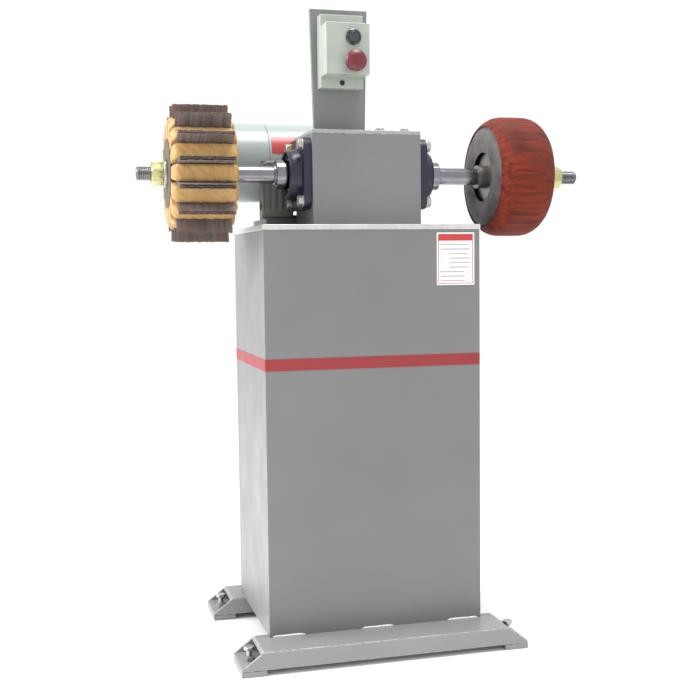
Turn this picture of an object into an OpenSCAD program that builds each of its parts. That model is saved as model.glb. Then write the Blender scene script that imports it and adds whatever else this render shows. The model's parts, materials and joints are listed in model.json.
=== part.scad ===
// Double-ended pedestal sander: brush-backed abrasive wheel on the left,
// pneumatic drum on the right, one belt-driven spindle between them.
// Origin: on the floor, under the middle of the whole machine. +Z up, -Y front.

/* [Pedestal] */
// Width of the sheet-steel cabinet
cabinet_w = 406; // [340:1:480]
// Depth of the cabinet
cabinet_d = 304; // [290:1:330]
// Height of the cabinet without its top plate
cabinet_h = 730; // [500:1:900]
// Thickness of the cabinet's sheet
sheet_t = 2.5; // [1.5:0.5:4]
// Distance of the cabinet's middle behind the middle of the feet
cabinet_back = 15; // [0:1:20]
// Thickness of the machined top plate
top_plate_t = 9.5; // [6:0.5:16]
// Overhang of the top plate past the cabinet
top_plate_lip = 1; // [0:0.5:6]
// Height of the coloured band
stripe_h = 21.5; // [10:0.5:40]
// Height of the band's lower edge above the cabinet's foot
stripe_up = 480; // [200:1:490]
// Thickness of the band
stripe_t = 0.4; // [0.2:0.1:1]
// Width of the notice card
card_w = 73; // [40:1:90]
// Height of the notice card
card_h = 96; // [50:1:120]
// Distance of the card from the cabinet's right edge
card_right = 11; // [4:1:30]
// Distance of the card under the cabinet's top edge
card_down = 6; // [2:1:40]
// Width of the rear door opening
door_w = 280; // [150:1:290]
// Height of the rear door opening
door_h = 420; // [200:1:440]
// Height of the opening's lower edge above the cabinet's foot
door_up = 150; // [40:1:180]
// How far the rear door laps over its opening
door_lap = 18; // [12:1:22]

/* [Feet] */
// Length of each foot
foot_len = 533; // [440:1:660]
// Depth of a foot's tube
foot_d = 94; // [80:1:100]
// Height of a foot's tube
foot_h = 32; // [28:1:50]
// Wall of a foot's tube
foot_wall = 4; // [2.5:0.5:5]
// Distance between the outer faces of the two feet
stance_d = 422; // [400:1:480]
// Length of the slanting cut at a foot's end
mitre_run = 38; // [34:1:50]
// Height of the square edge under the slanting cut
mitre_lip = 4; // [4:0.5:6]
// Thickness of the pads under the feet
pad_t = 10; // [6:1:16]
// Length of a pad
pad_len = 44; // [36:1:60]
// Diameter of a levelling screw
jack_d = 10; // [8:1:12]
// Distance of a levelling screw from the foot's end
jack_in = 21; // [19:1:24]
// Leg of a weld bead's section
weld_leg = 5; // [3:0.5:7]
// Length of a stitch weld
weld_len = 60; // [30:1:80]

/* [Headstock] */
// Width of the headstock box
box_w = 205; // [190:1:250]
// Depth of the headstock box
box_d = 140; // [138:1:160]
// Height of the headstock box without its lid
box_h = 165; // [160:1:200]
// Wall of the headstock box
box_wall = 6; // [5:0.5:8]
// Distance of the spindle's axis in front of the middle of the feet
spindle_front = 28; // [20:1:28]
// Height of the spindle's axis above the top plate
spindle_up = 95; // [90:0.5:98]
// Thickness of the headstock's lid
lid_t = 7; // [5:0.5:10]
// Side of a corner block inside the box
corner_block = 18; // [16:1:20]

/* [Bearings] */
// Side of a flange bearing's square plate
flange_side = 130; // [124:1:130]
// Thickness of the plate
flange_t = 15; // [10:0.5:18]
// Distance between the plate's bolts
flange_pitch = 102; // [100:1:104]
// Diameter of the bearing's nose where it meets the plate
nose_d = 98; // [94:1:100]
// Height of the nose above the box's side
nose_h = 36; // [34:1:42]
// Outside diameter of the ball bearing
race_od = 80; // [76:1:82]
// Width of the outer race
race_w = 18; // [16:1:20]
// Wall of the outer race
race_wall = 6; // [5:0.5:7]
// Ball diameter
ball_d = 12.7; // [11:0.1:13]
// Balls in one bearing
ball_count = 9; // [6:1:10]
// Outside diameter of the inner race
inner_race_od = 53; // [52:0.5:54]
// Reach of the inner race past the box's side
inner_race_reach = 55; // [50:1:60]

/* [Spindle] */
// Diameter of the shaft in the bearings
shaft_d = 38.1; // [36:0.1:40]
// Diameter of the arbors that carry the wheels
arbor_d = 31.75; // [28:0.05:34]
// Diameter of the threaded ends
thread_d = 25.4; // [22:0.1:26]
// Reach of the left end from the cabinet's middle
left_reach = 411; // [405:1:440]
// Reach of the right end from the cabinet's middle
right_reach = 448; // [440:1:480]
// Width across the flats of an arbor nut
nut_af = 38.1; // [36:0.1:42]
// Height of an arbor nut
nut_h = 22; // [16:0.5:24]
// Pitch diameter of the spindle's pulley
spindle_pulley_pd = 95; // [80:1:98]
// Pitch diameter of the motor's pulley
motor_pulley_pd = 69; // [60:1:80]
// Distance of the belt's middle to the right of the cabinet's middle
belt_x = 35; // [30:1:40]
// Top width of the belt
belt_w = 12.7; // [10:0.1:13]
// Height of the belt's section
belt_h = 8; // [6:0.5:9]
// Gap between the belt and the groove's sides
belt_gap = 0.35; // [0.25:0.05:0.6]

/* [Brush wheel] */
// Distance of the brush wheel's inner face from the cabinet's middle
brush_x = 239; // [235:1:245]
// Width of the brush wheel
brush_w = 118; // [110:1:118]
// Diameter over the brushes
brush_od = 204; // [180:1:215]
// Diameter over the abrasive strips
strip_od = 250; // [225:1:270]
// Length of an abrasive strip along the axis
strip_w = 99; // [80:1:104]
// Stations round the wheel
stations = 16; // [12:2:16]
// Diameter of the wheel's hub
brush_hub_d = 124; // [110:1:130]
// Thickness of a bundle of abrasive strips
strip_t = 6; // [4:0.5:7]

/* [Drum] */
// Distance of the drum's inner face from the cabinet's middle
drum_x = 240; // [236:1:260]
// Width of the drum
drum_w = 132; // [100:1:136]
// Diameter of the drum over its sleeve
drum_od = 229; // [200:1:254]
// Radius of the drum's shoulders
drum_shoulder = 38; // [20:1:40]
// Thickness of the abrasive sleeve
sleeve_t = 3; // [2:0.5:4]
// Thickness of the rubber bladder
bladder_t = 8; // [6:1:12]
// Diameter of the drum's hub
drum_hub_d = 94; // [80:1:110]

/* [Mast and switch box] */
// Width of the mast at its foot
mast_w = 96; // [88:1:110]
// Width of the mast at its top
mast_top_w = 107; // [96:1:120]
// Height of the mast above the headstock's lid
mast_h = 219; // [205:1:260]
// Depth of the mast's folded edges
mast_d = 10; // [8:1:30]
// Depth of the mast's foot
mast_foot_d = 42; // [34:1:50]
// Thickness of the mast's plate
mast_t = 3.5; // [3:0.5:5]
// Distance of the mast's middle to the left of the headstock's middle
mast_left = 43; // [40:1:50]
// Distance of the mast's face behind the headstock's face
mast_set_back = 32; // [28:1:40]
// Width of the switch box
switch_w = 80; // [74:1:84]
// Height of the switch box's tray
switch_h = 130; // [124:1:140]
// Depth of the tray
tray_d = 25; // [20:1:30]
// Depth of the cover in front of the tray
cover_d = 43; // [38:1:50]
// Height of the cover
cover_h = 90; // [88:1:100]
// Distance of the switch box's middle to the left of the headstock's middle
switch_left = 44; // [42:1:52]
// Diameter of the start button
start_d = 28.5; // [22:0.5:30]
// Diameter of the mushroom head of the stop button
stop_d = 38; // [32:0.5:40]
// Travel of the start button
start_travel = 4; // [2:0.5:5]
// Travel of the stop button
stop_travel = 5; // [3:0.5:6]

/* [Motor] */
// Diameter of the motor's frame
motor_d = 154; // [150:1:156]
// Height of the motor's axis above the top plate
motor_up = 130.5; // [128:0.5:136]
// Distance of the motor's axis behind the middle of the feet
motor_back = 130; // [128:1:132]
// Length of the motor's frame
motor_frame_len = 142; // [120:1:150]
// Reach of the drive end past the cabinet's middle
motor_drive_x = 10; // [4:1:12]
// Length of the motor's end bell
end_bell_len = 20; // [14:1:24]
// Length of the fan cover
fan_cover_len = 76; // [60:1:80]
// Wall of the motor's frame
motor_wall = 6; // [4:0.5:8]
// Diameter of the motor's shaft
motor_shaft_d = 19.05; // [16:0.05:22]

/* [Hidden] */
$fn = 64;

run_gap = 0.05;      // radial clearance of a turning fit
bolt_gap = 0.5;      // radial clearance of a bolt in its hole
seat_gap = 0.02;     // clearance of a piece that is pushed home
part_gap = 0.3;      // clearance between pieces of different bodies
skin = 0.1;          // how far a cutting shape runs past a face

// the machine's middle lies halfway along the spindle
pedestal_x = (left_reach - right_reach) / 2;
cabinet_z = pad_t + foot_h;
plate_z = cabinet_z + cabinet_h;
deck_z = plate_z + top_plate_t;
lid_z = deck_z + box_h;
mast_z = lid_z + lid_t;
cabinet_front = cabinet_back - cabinet_d / 2;
spindle_z = deck_z + spindle_up;
box_front = -spindle_front - box_d / 2;
box_rear = box_front + box_d;
motor_z = deck_z + motor_up;
foot_y = (stance_d - foot_d) / 2;

// levelling screws and their welded nuts
jack_nut_af = 17;
jack_nut_h = 8;
jack_head_h = 6.4;
jack_top = cabinet_z - 2;
jack_tip = 1;
jack_x = foot_len / 2 - jack_in;

// hexagon heads: width across flats and height
m6_af = 10;
m6_h = 4;
m8_af = 13;
m8_h = 5.3;
m12_af = 19;
m12_h = 7.5;

// drive
pulley_rim = 3;
belt_top_r = belt_h * 0.35;
groove_floor = 3;
belt_slope = 2.2;
groove_in = 2.6;
belt_steps = 40;
pulley_w = belt_w + 2 * pulley_rim + 2;
belt_run = [motor_back + spindle_front, motor_z - spindle_z];
belt_c = norm(belt_run);
belt_tilt = atan2(belt_run[1], belt_run[0]);
wrap = asin((spindle_pulley_pd - motor_pulley_pd) / 2 / belt_c);
key_side = 6;

// belt guard
guard_x0 = motor_drive_x + 4;
guard_x1 = belt_x + pulley_w / 2 + 14;
guard_rear = motor_back + motor_pulley_pd / 2 + 20;
guard_z0 = spindle_z - spindle_pulley_pd / 2 - 10;
guard_z1 = motor_z + motor_pulley_pd / 2 + 12;
guard_t = 1.5;
guard_flange = 12;

// motor, measured to the left from its drive end
bell_x = motor_drive_x - end_bell_len;
frame_x = bell_x - motor_frame_len;
stator_len = 90;
stator_bore = 84;
stator_x = bell_x - 25 - stator_len;
motor_race_od = 42;
motor_race_w = 12;
bell_floor = 8;
cradle_w = 130;
cradle_t = 8;
cradle_d = 104;
rear_bolt_back = 24;
rail_h = 18;
rail_w = 68;
rail_x = bell_x - motor_frame_len - 9;
rail_front = box_rear + 1;
conduit_w = 61;
conduit_h = 109;
conduit_up = 19;
conduit_d = 28;
conduit_cover_t = 7;
conduit_x = rail_x - 7;

// switch box
switch_z = mast_z + mast_h - 14 - switch_h;
cover_z = switch_z + 18;
switch_y = box_front + mast_set_back - tray_d;
face_y = switch_y - cover_d;
button_x = -switch_left + 10;
start_z = cover_z + cover_h - 25;
stop_z = start_z - 44;
stem_d = 12;
stop_stand = 16;
start_stand = 5;

// mast's foot
mast_foot_len = 95;
mast_foot_t = 3;
mast_bolt_reach = [35, 83];

// places of screws and bolts, x with y or z
door_screw_spots = [
  for (x = [-1, 1], z = [0, 0.5, 1])
    [x * (door_w + door_lap) / 2,
     cabinet_z + door_up - door_lap / 2 + z * (door_h + door_lap)]
];
headstock_bolt_spots = [
  for (x = [-1, 1], y = [0, 1])
    [x * (box_w / 2 - box_wall - corner_block / 2),
     box_front + box_wall + corner_block / 2 + y * (box_d - 2 * box_wall - corner_block)]
];
lid_screw_spots = [for (x = [-1, 1], i = [0, 1]) [x * box_w / 4, headstock_bolt_spots[i][1]]];
guard_screw_spots = [
  for (x = [guard_x0 - guard_flange / 2, guard_x1 + guard_flange / 2], z = [guard_z0 + 14, lid_z - 12])
    [x, z]
];
mast_bolt_spots = [
  for (x = mast_bolt_reach)
    [mast_w / 2 - mast_left + x, box_front + mast_set_back + mast_foot_d / 2]
];
rail_bolt_spots = [
  for (x = [rail_x + 30, bell_x - 30], y = [10 - cradle_d / 2, rear_bolt_back]) [x, motor_back + y]
];

// headstock lid and bearings
lid_block_h = 10;
lid_head_h = 3;
race_x = box_w / 2 + 14;   // inner side of the outer race
nipple_d = 6;
nipple_seat = 4;
ball_circle_r = (race_od - 2 * race_wall + inner_race_od) / 4;

// buttons
neck_d = 22;         // threaded neck of a button through the cover
neck_len = 12;
block_side = 28;
start_bore = 20;
start_cap_d = start_bore - 2 * part_gap;
start_collar_h = 4;
stop_collar_h = 8;
stop_collar_d = 29.5;

// conduit box
conduit_y = box_rear + 1;
conduit_wall = 3;
conduit_entry_d = 20;
conduit_entry_up = 24;

// the belt's section, and its stations: pulley centre, radius and direction
belt_section = [
  [belt_top_r, -belt_w / 2], [belt_top_r, belt_w / 2],
  [belt_top_r - belt_h, belt_w / 2 - belt_slope], [belt_top_r - belt_h, -belt_w / 2 + belt_slope]
];
belt_stations = concat(
  [for (i = [0:belt_steps]) [0, spindle_pulley_pd / 2, 90 - wrap + i * (180 + 2 * wrap) / belt_steps]],
  [for (i = [0:belt_steps]) [belt_c, motor_pulley_pd / 2, wrap - 90 + i * (180 - 2 * wrap) / belt_steps]]
);

// wheels, washers and collars
strip_root_r = brush_hub_d / 2 - 8;
wheel_plate_t = 5;
wheel_phase = 14.5;
washer_od = 52;
washer_t = 6;
collar_od = 46;
collar_w = 8;
cup_od = 64;
cup_w = 20;
drum_boss_d = 44;
drum_dish = 20;      // depth of the dished recess round the shaft

// ---------- shared shapes ----------

module on_pedestal() translate([pedestal_x, 0, 0]) children();

// axis of the spindle: a profile's z runs to the right along it
module on_spindle(x = 0)
  on_pedestal() translate([x, -spindle_front, spindle_z]) rotate([0, 90, 0]) children();

module on_motor(x = 0)
  on_pedestal() translate([x, motor_back, motor_z]) rotate([0, 90, 0]) children();

// looking out of the front: a profile's z runs towards -Y
module facing_front(x, y, z)
  on_pedestal() translate([x, y, z]) rotate([90, 0, 0]) children();

module tube(od, id, len) difference() {
  cylinder(d = od, h = len);
  translate([0, 0, -skin]) cylinder(d = id, h = len + 2 * skin);
}

module hex(af, h) cylinder(d = af / cos(30), h = h, $fn = 6);

// a hexagon-head bolt: head above z = 0, shank below
module hex_bolt(d, len, af, h) {
  hex(af, h);
  translate([0, 0, -len]) cylinder(d = d, h = len + skin);
}

module round_rect(w, d, r) {
  square([w - 2 * r, d], center = true);
  square([w, d - 2 * r], center = true);
  for (x = [-1, 1], y = [-1, 1])
    translate([x * (w / 2 - r), y * (d / 2 - r)]) circle(r);
}

module both_sides() {
  children();
  on_mirror() children();
}

// mirror about the middle of the headstock
module on_mirror() translate([2 * pedestal_x, 0, 0]) mirror([1, 0, 0]) children();

// ---------- pedestal ----------

module cabinet_shell() color([0.56, 0.56, 0.56]) on_pedestal() difference() {
  translate([-cabinet_w / 2, cabinet_front, cabinet_z]) cube([cabinet_w, cabinet_d, cabinet_h]);
  translate([-cabinet_w / 2 + sheet_t, cabinet_front + sheet_t, cabinet_z - skin])
    cube([cabinet_w - 2 * sheet_t, cabinet_d - 2 * sheet_t, cabinet_h + 2 * skin]);
  translate([-door_w / 2, cabinet_front + cabinet_d - 2 * sheet_t, cabinet_z + door_up])
    cube([door_w, 3 * sheet_t, door_h]);
  for (p = door_screw_spots)
    translate([p[0], cabinet_front + cabinet_d + skin, p[1]]) rotate([90, 0, 0])
      cylinder(d = 6 + 2 * bolt_gap, h = sheet_t + 2 * skin);
}

module rear_door() color([0.56, 0.56, 0.56]) on_pedestal() difference() {
  translate([-door_w / 2 - door_lap, cabinet_front + cabinet_d, cabinet_z + door_up - door_lap])
    cube([door_w + 2 * door_lap, 2, door_h + 2 * door_lap]);
  for (p = door_screw_spots)
    translate([p[0], cabinet_front + cabinet_d + 2 + skin, p[1]]) rotate([90, 0, 0])
      cylinder(d = 6 + 2 * bolt_gap, h = 2 + 2 * skin);
}

module rear_door_screws() color([0.75, 0.75, 0.75]) on_pedestal()
  for (p = door_screw_spots)
    translate([p[0], cabinet_front + cabinet_d + 2, p[1]]) rotate([-90, 0, 0])
      hex_bolt(6, 8, m6_af, m6_h);

module top_plate() color([0.8, 0.8, 0.8]) on_pedestal() difference() {
  translate([-cabinet_w / 2 - top_plate_lip, cabinet_front - top_plate_lip, plate_z])
    cube([cabinet_w + 2 * top_plate_lip, cabinet_d + 2 * top_plate_lip, top_plate_t]);
  for (p = headstock_bolt_spots)
    translate([p[0], p[1], plate_z - skin])
      cylinder(d = 10 + 2 * bolt_gap, h = top_plate_t + 2 * skin);
  for (p = rail_bolt_spots)
    translate([p[0], p[1], plate_z - skin])
      cylinder(d = 8 + 2 * bolt_gap, h = top_plate_t + 2 * skin);
}

module stripe_band() color([0.62, 0.13, 0.15]) on_pedestal() difference() {
  translate([-cabinet_w / 2 - stripe_t, cabinet_front - stripe_t, cabinet_z + stripe_up])
    cube([cabinet_w + 2 * stripe_t, cabinet_d + stripe_t, stripe_h]);
  translate([-cabinet_w / 2, cabinet_front, cabinet_z + stripe_up - skin])
    cube([cabinet_w, cabinet_d + skin, stripe_h + 2 * skin]);
}

module notice_card() color([0.95, 0.93, 0.92])
  on_pedestal() translate([cabinet_w / 2 - card_right - card_w, cabinet_front - 0.6,
    plate_z - card_down - card_h]) cube([card_w, 0.6, card_h]);

// ---------- feet ----------

// side outline of a foot, with slanting cuts at both ends
module foot_outline() polygon([
  [-foot_len / 2, 0], [foot_len / 2, 0], [foot_len / 2, mitre_lip],
  [foot_len / 2 - mitre_run, foot_h], [-foot_len / 2 + mitre_run, foot_h], [-foot_len / 2, mitre_lip]
]);

// a foot with the nuts of its levelling screws welded inside
module foot(side) color([0.62, 0.62, 0.62])
  on_pedestal() translate([0, side * foot_y, pad_t]) difference() {
    foot_blank();
    for (x = [-1, 1])
      translate([x * jack_x, 0, -skin]) cylinder(d = jack_d + 2 * run_gap, h = foot_h);
  }

module foot_blank() {
  difference() {
    translate([0, foot_d / 2, 0]) rotate([90, 0, 0]) linear_extrude(foot_d) foot_outline();
    translate([-foot_len, -foot_d / 2 + foot_wall, foot_wall])
      cube([2 * foot_len, foot_d - 2 * foot_wall, foot_h - 2 * foot_wall]);
  }
  for (x = [-1, 1]) translate([x * jack_x, 0, foot_wall]) hex(jack_nut_af, jack_nut_h);
}

module front_foot() foot(-1);
module rear_foot() foot(1);

module foot_pads() color([0.5, 0.5, 0.5]) on_pedestal()
  for (x = [-1, 1], y = [-1, 1])
    translate([x * (foot_len - pad_len) / 2, y * foot_y, 0]) difference() {
      translate([0, 0, pad_t / 2]) cube([pad_len, foot_d, pad_t], center = true);
      translate([x * (jack_x - (foot_len - pad_len) / 2), 0, -skin])
        cylinder(d = jack_d + 2 * bolt_gap, h = pad_t + 2 * skin);
    }

module levelling_screw(x, y) color([0.7, 0.7, 0.68])
  on_pedestal() translate([x * jack_x, y * foot_y, jack_top - jack_head_h])
    hex_bolt(jack_d, jack_top - jack_head_h - jack_tip, jack_nut_af, jack_head_h);

module levelling_screw_front_left() levelling_screw(-1, -1);
module levelling_screw_front_right() levelling_screw(1, -1);
module levelling_screw_rear_left() levelling_screw(-1, 1);
module levelling_screw_rear_right() levelling_screw(1, 1);

// stitch welds in the corner between the cabinet and the feet
module foot_welds() color([0.75, 0.74, 0.72]) on_pedestal()
  for (x = [-1, 0, 1]) {
    translate([x * (cabinet_w / 2 - weld_len / 2 - 6), cabinet_front, cabinet_z]) weld_bead();
    translate([x * (cabinet_w / 2 - weld_len / 2 - 6), cabinet_front + cabinet_d, cabinet_z])
      mirror([0, 1, 0]) weld_bead();
  }

module weld_bead() rotate([0, 90, 0]) linear_extrude(weld_len, center = true)
  polygon([[0, 0], [-weld_leg, 0], [-weld_leg * 0.62, -weld_leg * 0.62], [0, -weld_leg]]);

// ---------- headstock ----------

module headstock_box() color([0.57, 0.57, 0.57]) difference() {
  on_pedestal() difference() {
    translate([-box_w / 2, box_front, deck_z]) cube([box_w, box_d, box_h]);
    difference() {
      translate([-box_w / 2 + box_wall, box_front + box_wall, deck_z - skin])
        cube([box_w - 2 * box_wall, box_d - 2 * box_wall, box_h + 2 * skin]);
      for (p = headstock_bolt_spots) block(p, deck_z - 2 * skin, corner_block);
      for (p = lid_screw_spots) block(p, lid_z - lid_block_h, lid_block_h);
    }
    for (p = headstock_bolt_spots)
      translate([p[0], p[1], deck_z - skin]) cylinder(d = 10 + 2 * seat_gap, h = corner_block - 3);
    for (p = lid_screw_spots)
      translate([p[0], p[1], lid_z - 8]) cylinder(d = 6 + 2 * seat_gap, h = lid_block_h);
    belt_window(box_rear - box_wall, box_wall);
    for (p = guard_screw_spots)
      translate([p[0], box_rear + skin, p[1]]) rotate([90, 0, 0])
        cylinder(d = 5 + 2 * seat_gap, h = box_wall + 2 * skin);
  }
  on_spindle(-box_w) cylinder(d = shaft_d + 16, h = 2 * box_w);
  for (a = [-1, 1], b = [-1, 1])
    on_spindle(-box_w) translate([a * flange_pitch / 2, b * flange_pitch / 2, 0])
      cylinder(d = 12 + 2 * bolt_gap, h = 2 * box_w);
}

module block(p, z, h)
  translate([p[0] - corner_block / 2 - skin, p[1] - corner_block / 2 - skin, z])
    cube([corner_block + 2 * skin, corner_block + 2 * skin, h + 2 * skin]);

// way for the belt through a plate that starts at y and is t thick
module belt_window(y, t) translate([belt_x - belt_w / 2 - 8, y - skin, guard_z0 + 18])
  cube([belt_w + 16, t + 2 * skin, lid_z - 4.5 - guard_z0 - 18]);

module headstock_lid() color([0.72, 0.72, 0.71]) on_pedestal() difference() {
  translate([-box_w / 2, box_front, lid_z]) cube([box_w, box_d, lid_t]);
  for (p = lid_screw_spots) {
    translate([p[0], p[1], lid_z - skin]) cylinder(d = 6 + 2 * bolt_gap, h = lid_t + 2 * skin);
    translate([p[0], p[1], mast_z - lid_head_h - 0.3]) cylinder(d = 11, h = lid_head_h + 1);
  }
  for (p = mast_bolt_spots)
    translate([p[0], p[1], lid_z - skin]) cylinder(d = 8 + 2 * seat_gap, h = lid_t + 2 * skin);
}

module headstock_bolts() color([0.6, 0.6, 0.58]) on_pedestal()
  for (p = headstock_bolt_spots)
    translate([p[0], p[1], plate_z]) mirror([0, 0, 1]) hex_bolt(10, top_plate_t + 12, 17, 6.4);

// cap screws sunk flush in the lid
module lid_screws() color([0.35, 0.35, 0.36]) on_pedestal()
  for (p = lid_screw_spots)
    translate([p[0], p[1], mast_z - lid_head_h - 0.3]) {
      cylinder(d = 10, h = lid_head_h);
      translate([0, 0, -lid_t - 3]) cylinder(d = 6, h = lid_t + 3 + skin);
    }

// ---------- belt guard ----------

module belt_guard() color([0.56, 0.56, 0.56]) difference() {
  on_pedestal() difference() {
    union() {
      translate([guard_x0, box_rear, guard_z0])
        cube([guard_x1 - guard_x0, guard_rear - box_rear, guard_z1 - guard_z0]);
      translate([guard_x0 - guard_flange, box_rear, guard_z0])
        cube([guard_x1 - guard_x0 + 2 * guard_flange, guard_t, lid_z - guard_z0 - 1]);
    }
    translate([guard_x0 + guard_t, box_rear + guard_t, guard_z0 + guard_t])
      cube([guard_x1 - guard_x0 - 2 * guard_t, guard_rear - box_rear - 2 * guard_t,
        guard_z1 - guard_z0 - 2 * guard_t]);
    belt_window(box_rear, guard_t);
    for (p = guard_screw_spots)
      translate([p[0], box_rear - skin, p[1]]) rotate([-90, 0, 0])
        cylinder(d = 5 + 2 * bolt_gap, h = guard_t + 2 * skin);
  }
  on_motor(guard_x0 - 1) cylinder(d = motor_shaft_d + 8, h = guard_t + 2);
}

module belt_guard_screws() color([0.7, 0.7, 0.7]) on_pedestal()
  for (p = guard_screw_spots)
    translate([p[0], box_rear + guard_t, p[1]]) rotate([-90, 0, 0]) {
      cylinder(d = 9, h = 3);
      translate([0, 0, -guard_t - box_wall]) cylinder(d = 5, h = guard_t + box_wall + skin);
    }

// ---------- mast ----------

module mast_outline(inset) polygon([
  [-mast_w / 2 + inset, -skin * inset], [mast_w / 2 - inset, -skin * inset],
  [mast_top_w / 2 - inset, mast_h - inset], [-mast_top_w / 2 + inset, mast_h - inset]
]);

module mast() color([0.55, 0.55, 0.55]) difference() {
  union() {
    facing_front(-mast_left, box_front + mast_set_back + mast_d, mast_z) difference() {
      linear_extrude(mast_d) mast_outline(0);
      translate([0, 0, -skin]) linear_extrude(mast_d - mast_t + skin) mast_outline(mast_t);
    }
    on_pedestal() translate([-mast_w / 2 - mast_left + mast_t, box_front + mast_set_back + mast_t, mast_z])
      cube([mast_w + mast_foot_len - mast_t, mast_foot_d - mast_t, mast_foot_t]);
  }
  for (p = mast_bolt_spots)
    on_pedestal() translate([p[0], p[1], mast_z - skin]) cylinder(d = 8 + 2 * bolt_gap, h = mast_foot_t + 2 * skin);
  facing_front(-switch_left, box_front + mast_set_back + mast_t + skin, switch_z + switch_h / 2)
    cylinder(d = 16, h = mast_t + 2 * skin);
}

module mast_bolts() color([0.45, 0.45, 0.44]) on_pedestal()
  for (p = mast_bolt_spots)
    translate([p[0], p[1], mast_z + mast_foot_t]) hex_bolt(8, lid_t + mast_foot_t - skin, m8_af, m8_h);

// ---------- flange bearings ----------

module bearing_housing() color([0.1, 0.1, 0.2]) difference() {
  union() {
    on_spindle(box_w / 2) linear_extrude(flange_t) round_rect(flange_side, flange_side, 22);
    on_spindle(box_w / 2 + flange_t - skin) rotate_extrude($fn = 96) polygon([
      [0, 0], [nose_d / 2, 0], [nose_d / 2 - 3, nose_h - flange_t - 4],
      [nose_d / 2 - 6, nose_h - flange_t], [0, nose_h - flange_t]
    ]);
  }
  on_spindle(race_x) cylinder(d = race_od + 2 * seat_gap, h = nose_h);
  on_spindle(box_w / 2 - 1) cylinder(d = inner_race_od + 6, h = nose_h);
  for (a = [-1, 1], b = [-1, 1])
    on_spindle(box_w / 2 - 1) translate([a * flange_pitch / 2, b * flange_pitch / 2, 0])
      cylinder(d = 12 + 2 * bolt_gap, h = flange_t + 2);
  at_nipple() translate([0, 0, -seat_gap]) cylinder(d = nipple_d + 2 * seat_gap, h = nose_h);
}

// on top of the nose, looking out of it
module at_nipple() on_spindle(box_w / 2 + 24) translate([nipple_seat - nose_d / 2, 0, 0])
  rotate([0, -90, 0]) children();

module right_bearing_housing() bearing_housing();
module left_bearing_housing() on_mirror() bearing_housing();

module bearing_bolts() color([0.62, 0.62, 0.6]) both_sides()
  for (a = [-1, 1], b = [-1, 1])
    on_spindle(box_w / 2 + flange_t) translate([a * flange_pitch / 2, b * flange_pitch / 2, 0]) {
      hex_bolt(12, flange_t + box_wall + 12, m12_af, m12_h);
      translate([0, 0, -flange_t - box_wall - 10]) hex(m12_af, 10);
    }

// the groove that the balls run in
module ball_track(gap) rotate_extrude($fn = 96)
  translate([ball_circle_r, 0]) circle(d = ball_d + 2 * gap, $fn = 48);

module bearing_outer_races() color([0.8, 0.8, 0.8]) both_sides() difference() {
  on_spindle(race_x) tube(race_od, race_od - 2 * race_wall, race_w);
  on_spindle(race_x + race_w / 2) ball_track(seat_gap);
}

module bearing_balls() color([0.85, 0.85, 0.85]) both_sides()
  for (i = [0:ball_count - 1])
    on_spindle(race_x + race_w / 2) rotate([0, 0, i * 360 / ball_count])
      translate([ball_circle_r, 0, 0]) sphere(d = ball_d, $fn = 32);

module grease_nipples() color([0.8, 0.75, 0.5]) both_sides() at_nipple() {
  cylinder(d = nipple_d, h = 8);
  translate([0, 0, 5]) hex(8, 3);
  translate([0, 0, 9]) sphere(d = 4.4, $fn = 24);
}

// ---------- switch box ----------

module switch_tray() color([0.72, 0.75, 0.71]) difference() {
  on_pedestal() translate([-switch_left - switch_w / 2, switch_y, switch_z]) difference() {
    cube([switch_w, tray_d, switch_h]);
    translate([2, 2, 2]) cube([switch_w - 4, tray_d - 4, switch_h - 4]);
    translate([6, -skin, cover_z - switch_z + 4]) cube([switch_w - 12, 3, cover_h - 8]);
  }
  facing_front(-switch_left, switch_y + tray_d + skin, switch_z + switch_h / 2)
    cylinder(d = 16, h = 2 + 2 * skin);
  facing_front(-switch_left, switch_y + 3, switch_z + 9) cylinder(d = 5 + 2 * seat_gap, h = 4);
}

module switch_cover() color([0.65, 0.68, 0.64]) difference() {
  on_pedestal() difference() {
    translate([-switch_left - switch_w / 2, face_y, cover_z]) cube([switch_w, cover_d, cover_h]);
    translate([-switch_left - switch_w / 2 + 2, face_y + 2, cover_z + 2])
      cube([switch_w - 4, cover_d - 2 + skin, cover_h - 4]);
  }
  for (z = [start_z, stop_z])
    facing_front(button_x, face_y + 2 + skin, z) cylinder(d = neck_d, h = 2 + 2 * skin);
}

module switch_cover_screw() color([0.25, 0.25, 0.27])
  facing_front(-switch_left, switch_y, switch_z + 9) {
    cylinder(d = 9, h = 3);
    translate([0, 0, -7]) cylinder(d = 5, h = 7 + skin);
  }

module button_collar(z, d, h) facing_front(button_x, face_y, z) difference() {
  union() {
    cylinder(d = d, h = h);
    translate([0, 0, -neck_len]) cylinder(d = neck_d - 2 * seat_gap, h = neck_len + skin);
  }
  translate([0, 0, -neck_len - skin]) cylinder(d = stem_d + 2 * run_gap, h = neck_len + h + 2 * skin);
  // recess that the flush button slides in
  if (d == start_d) translate([0, 0, -start_travel - 1]) cylinder(d = start_bore, h = 20);
}

module button_collars() color([0.12, 0.13, 0.14]) {
  button_collar(start_z, start_d, start_collar_h);
  button_collar(stop_z, stop_collar_d, stop_collar_h);
}

module contact_blocks() color([0.25, 0.25, 0.27]) for (z = [start_z, stop_z])
  facing_front(button_x, face_y, z) difference() {
    translate([-block_side / 2, -block_side / 2, -neck_len - block_side])
      cube([block_side, block_side, block_side]);
    translate([0, 0, -neck_len - 1 - stop_travel - 2]) cylinder(d = stem_d + 2 * part_gap, h = 12);
  }

module start_button() color([0.15, 0.2, 0.21]) facing_front(button_x, face_y, start_z) {
  translate([0, 0, part_gap]) cylinder(d = start_cap_d, h = start_stand - part_gap);
  translate([0, 0, -neck_len - 1]) cylinder(d = stem_d, h = neck_len + 2);
}

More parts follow.
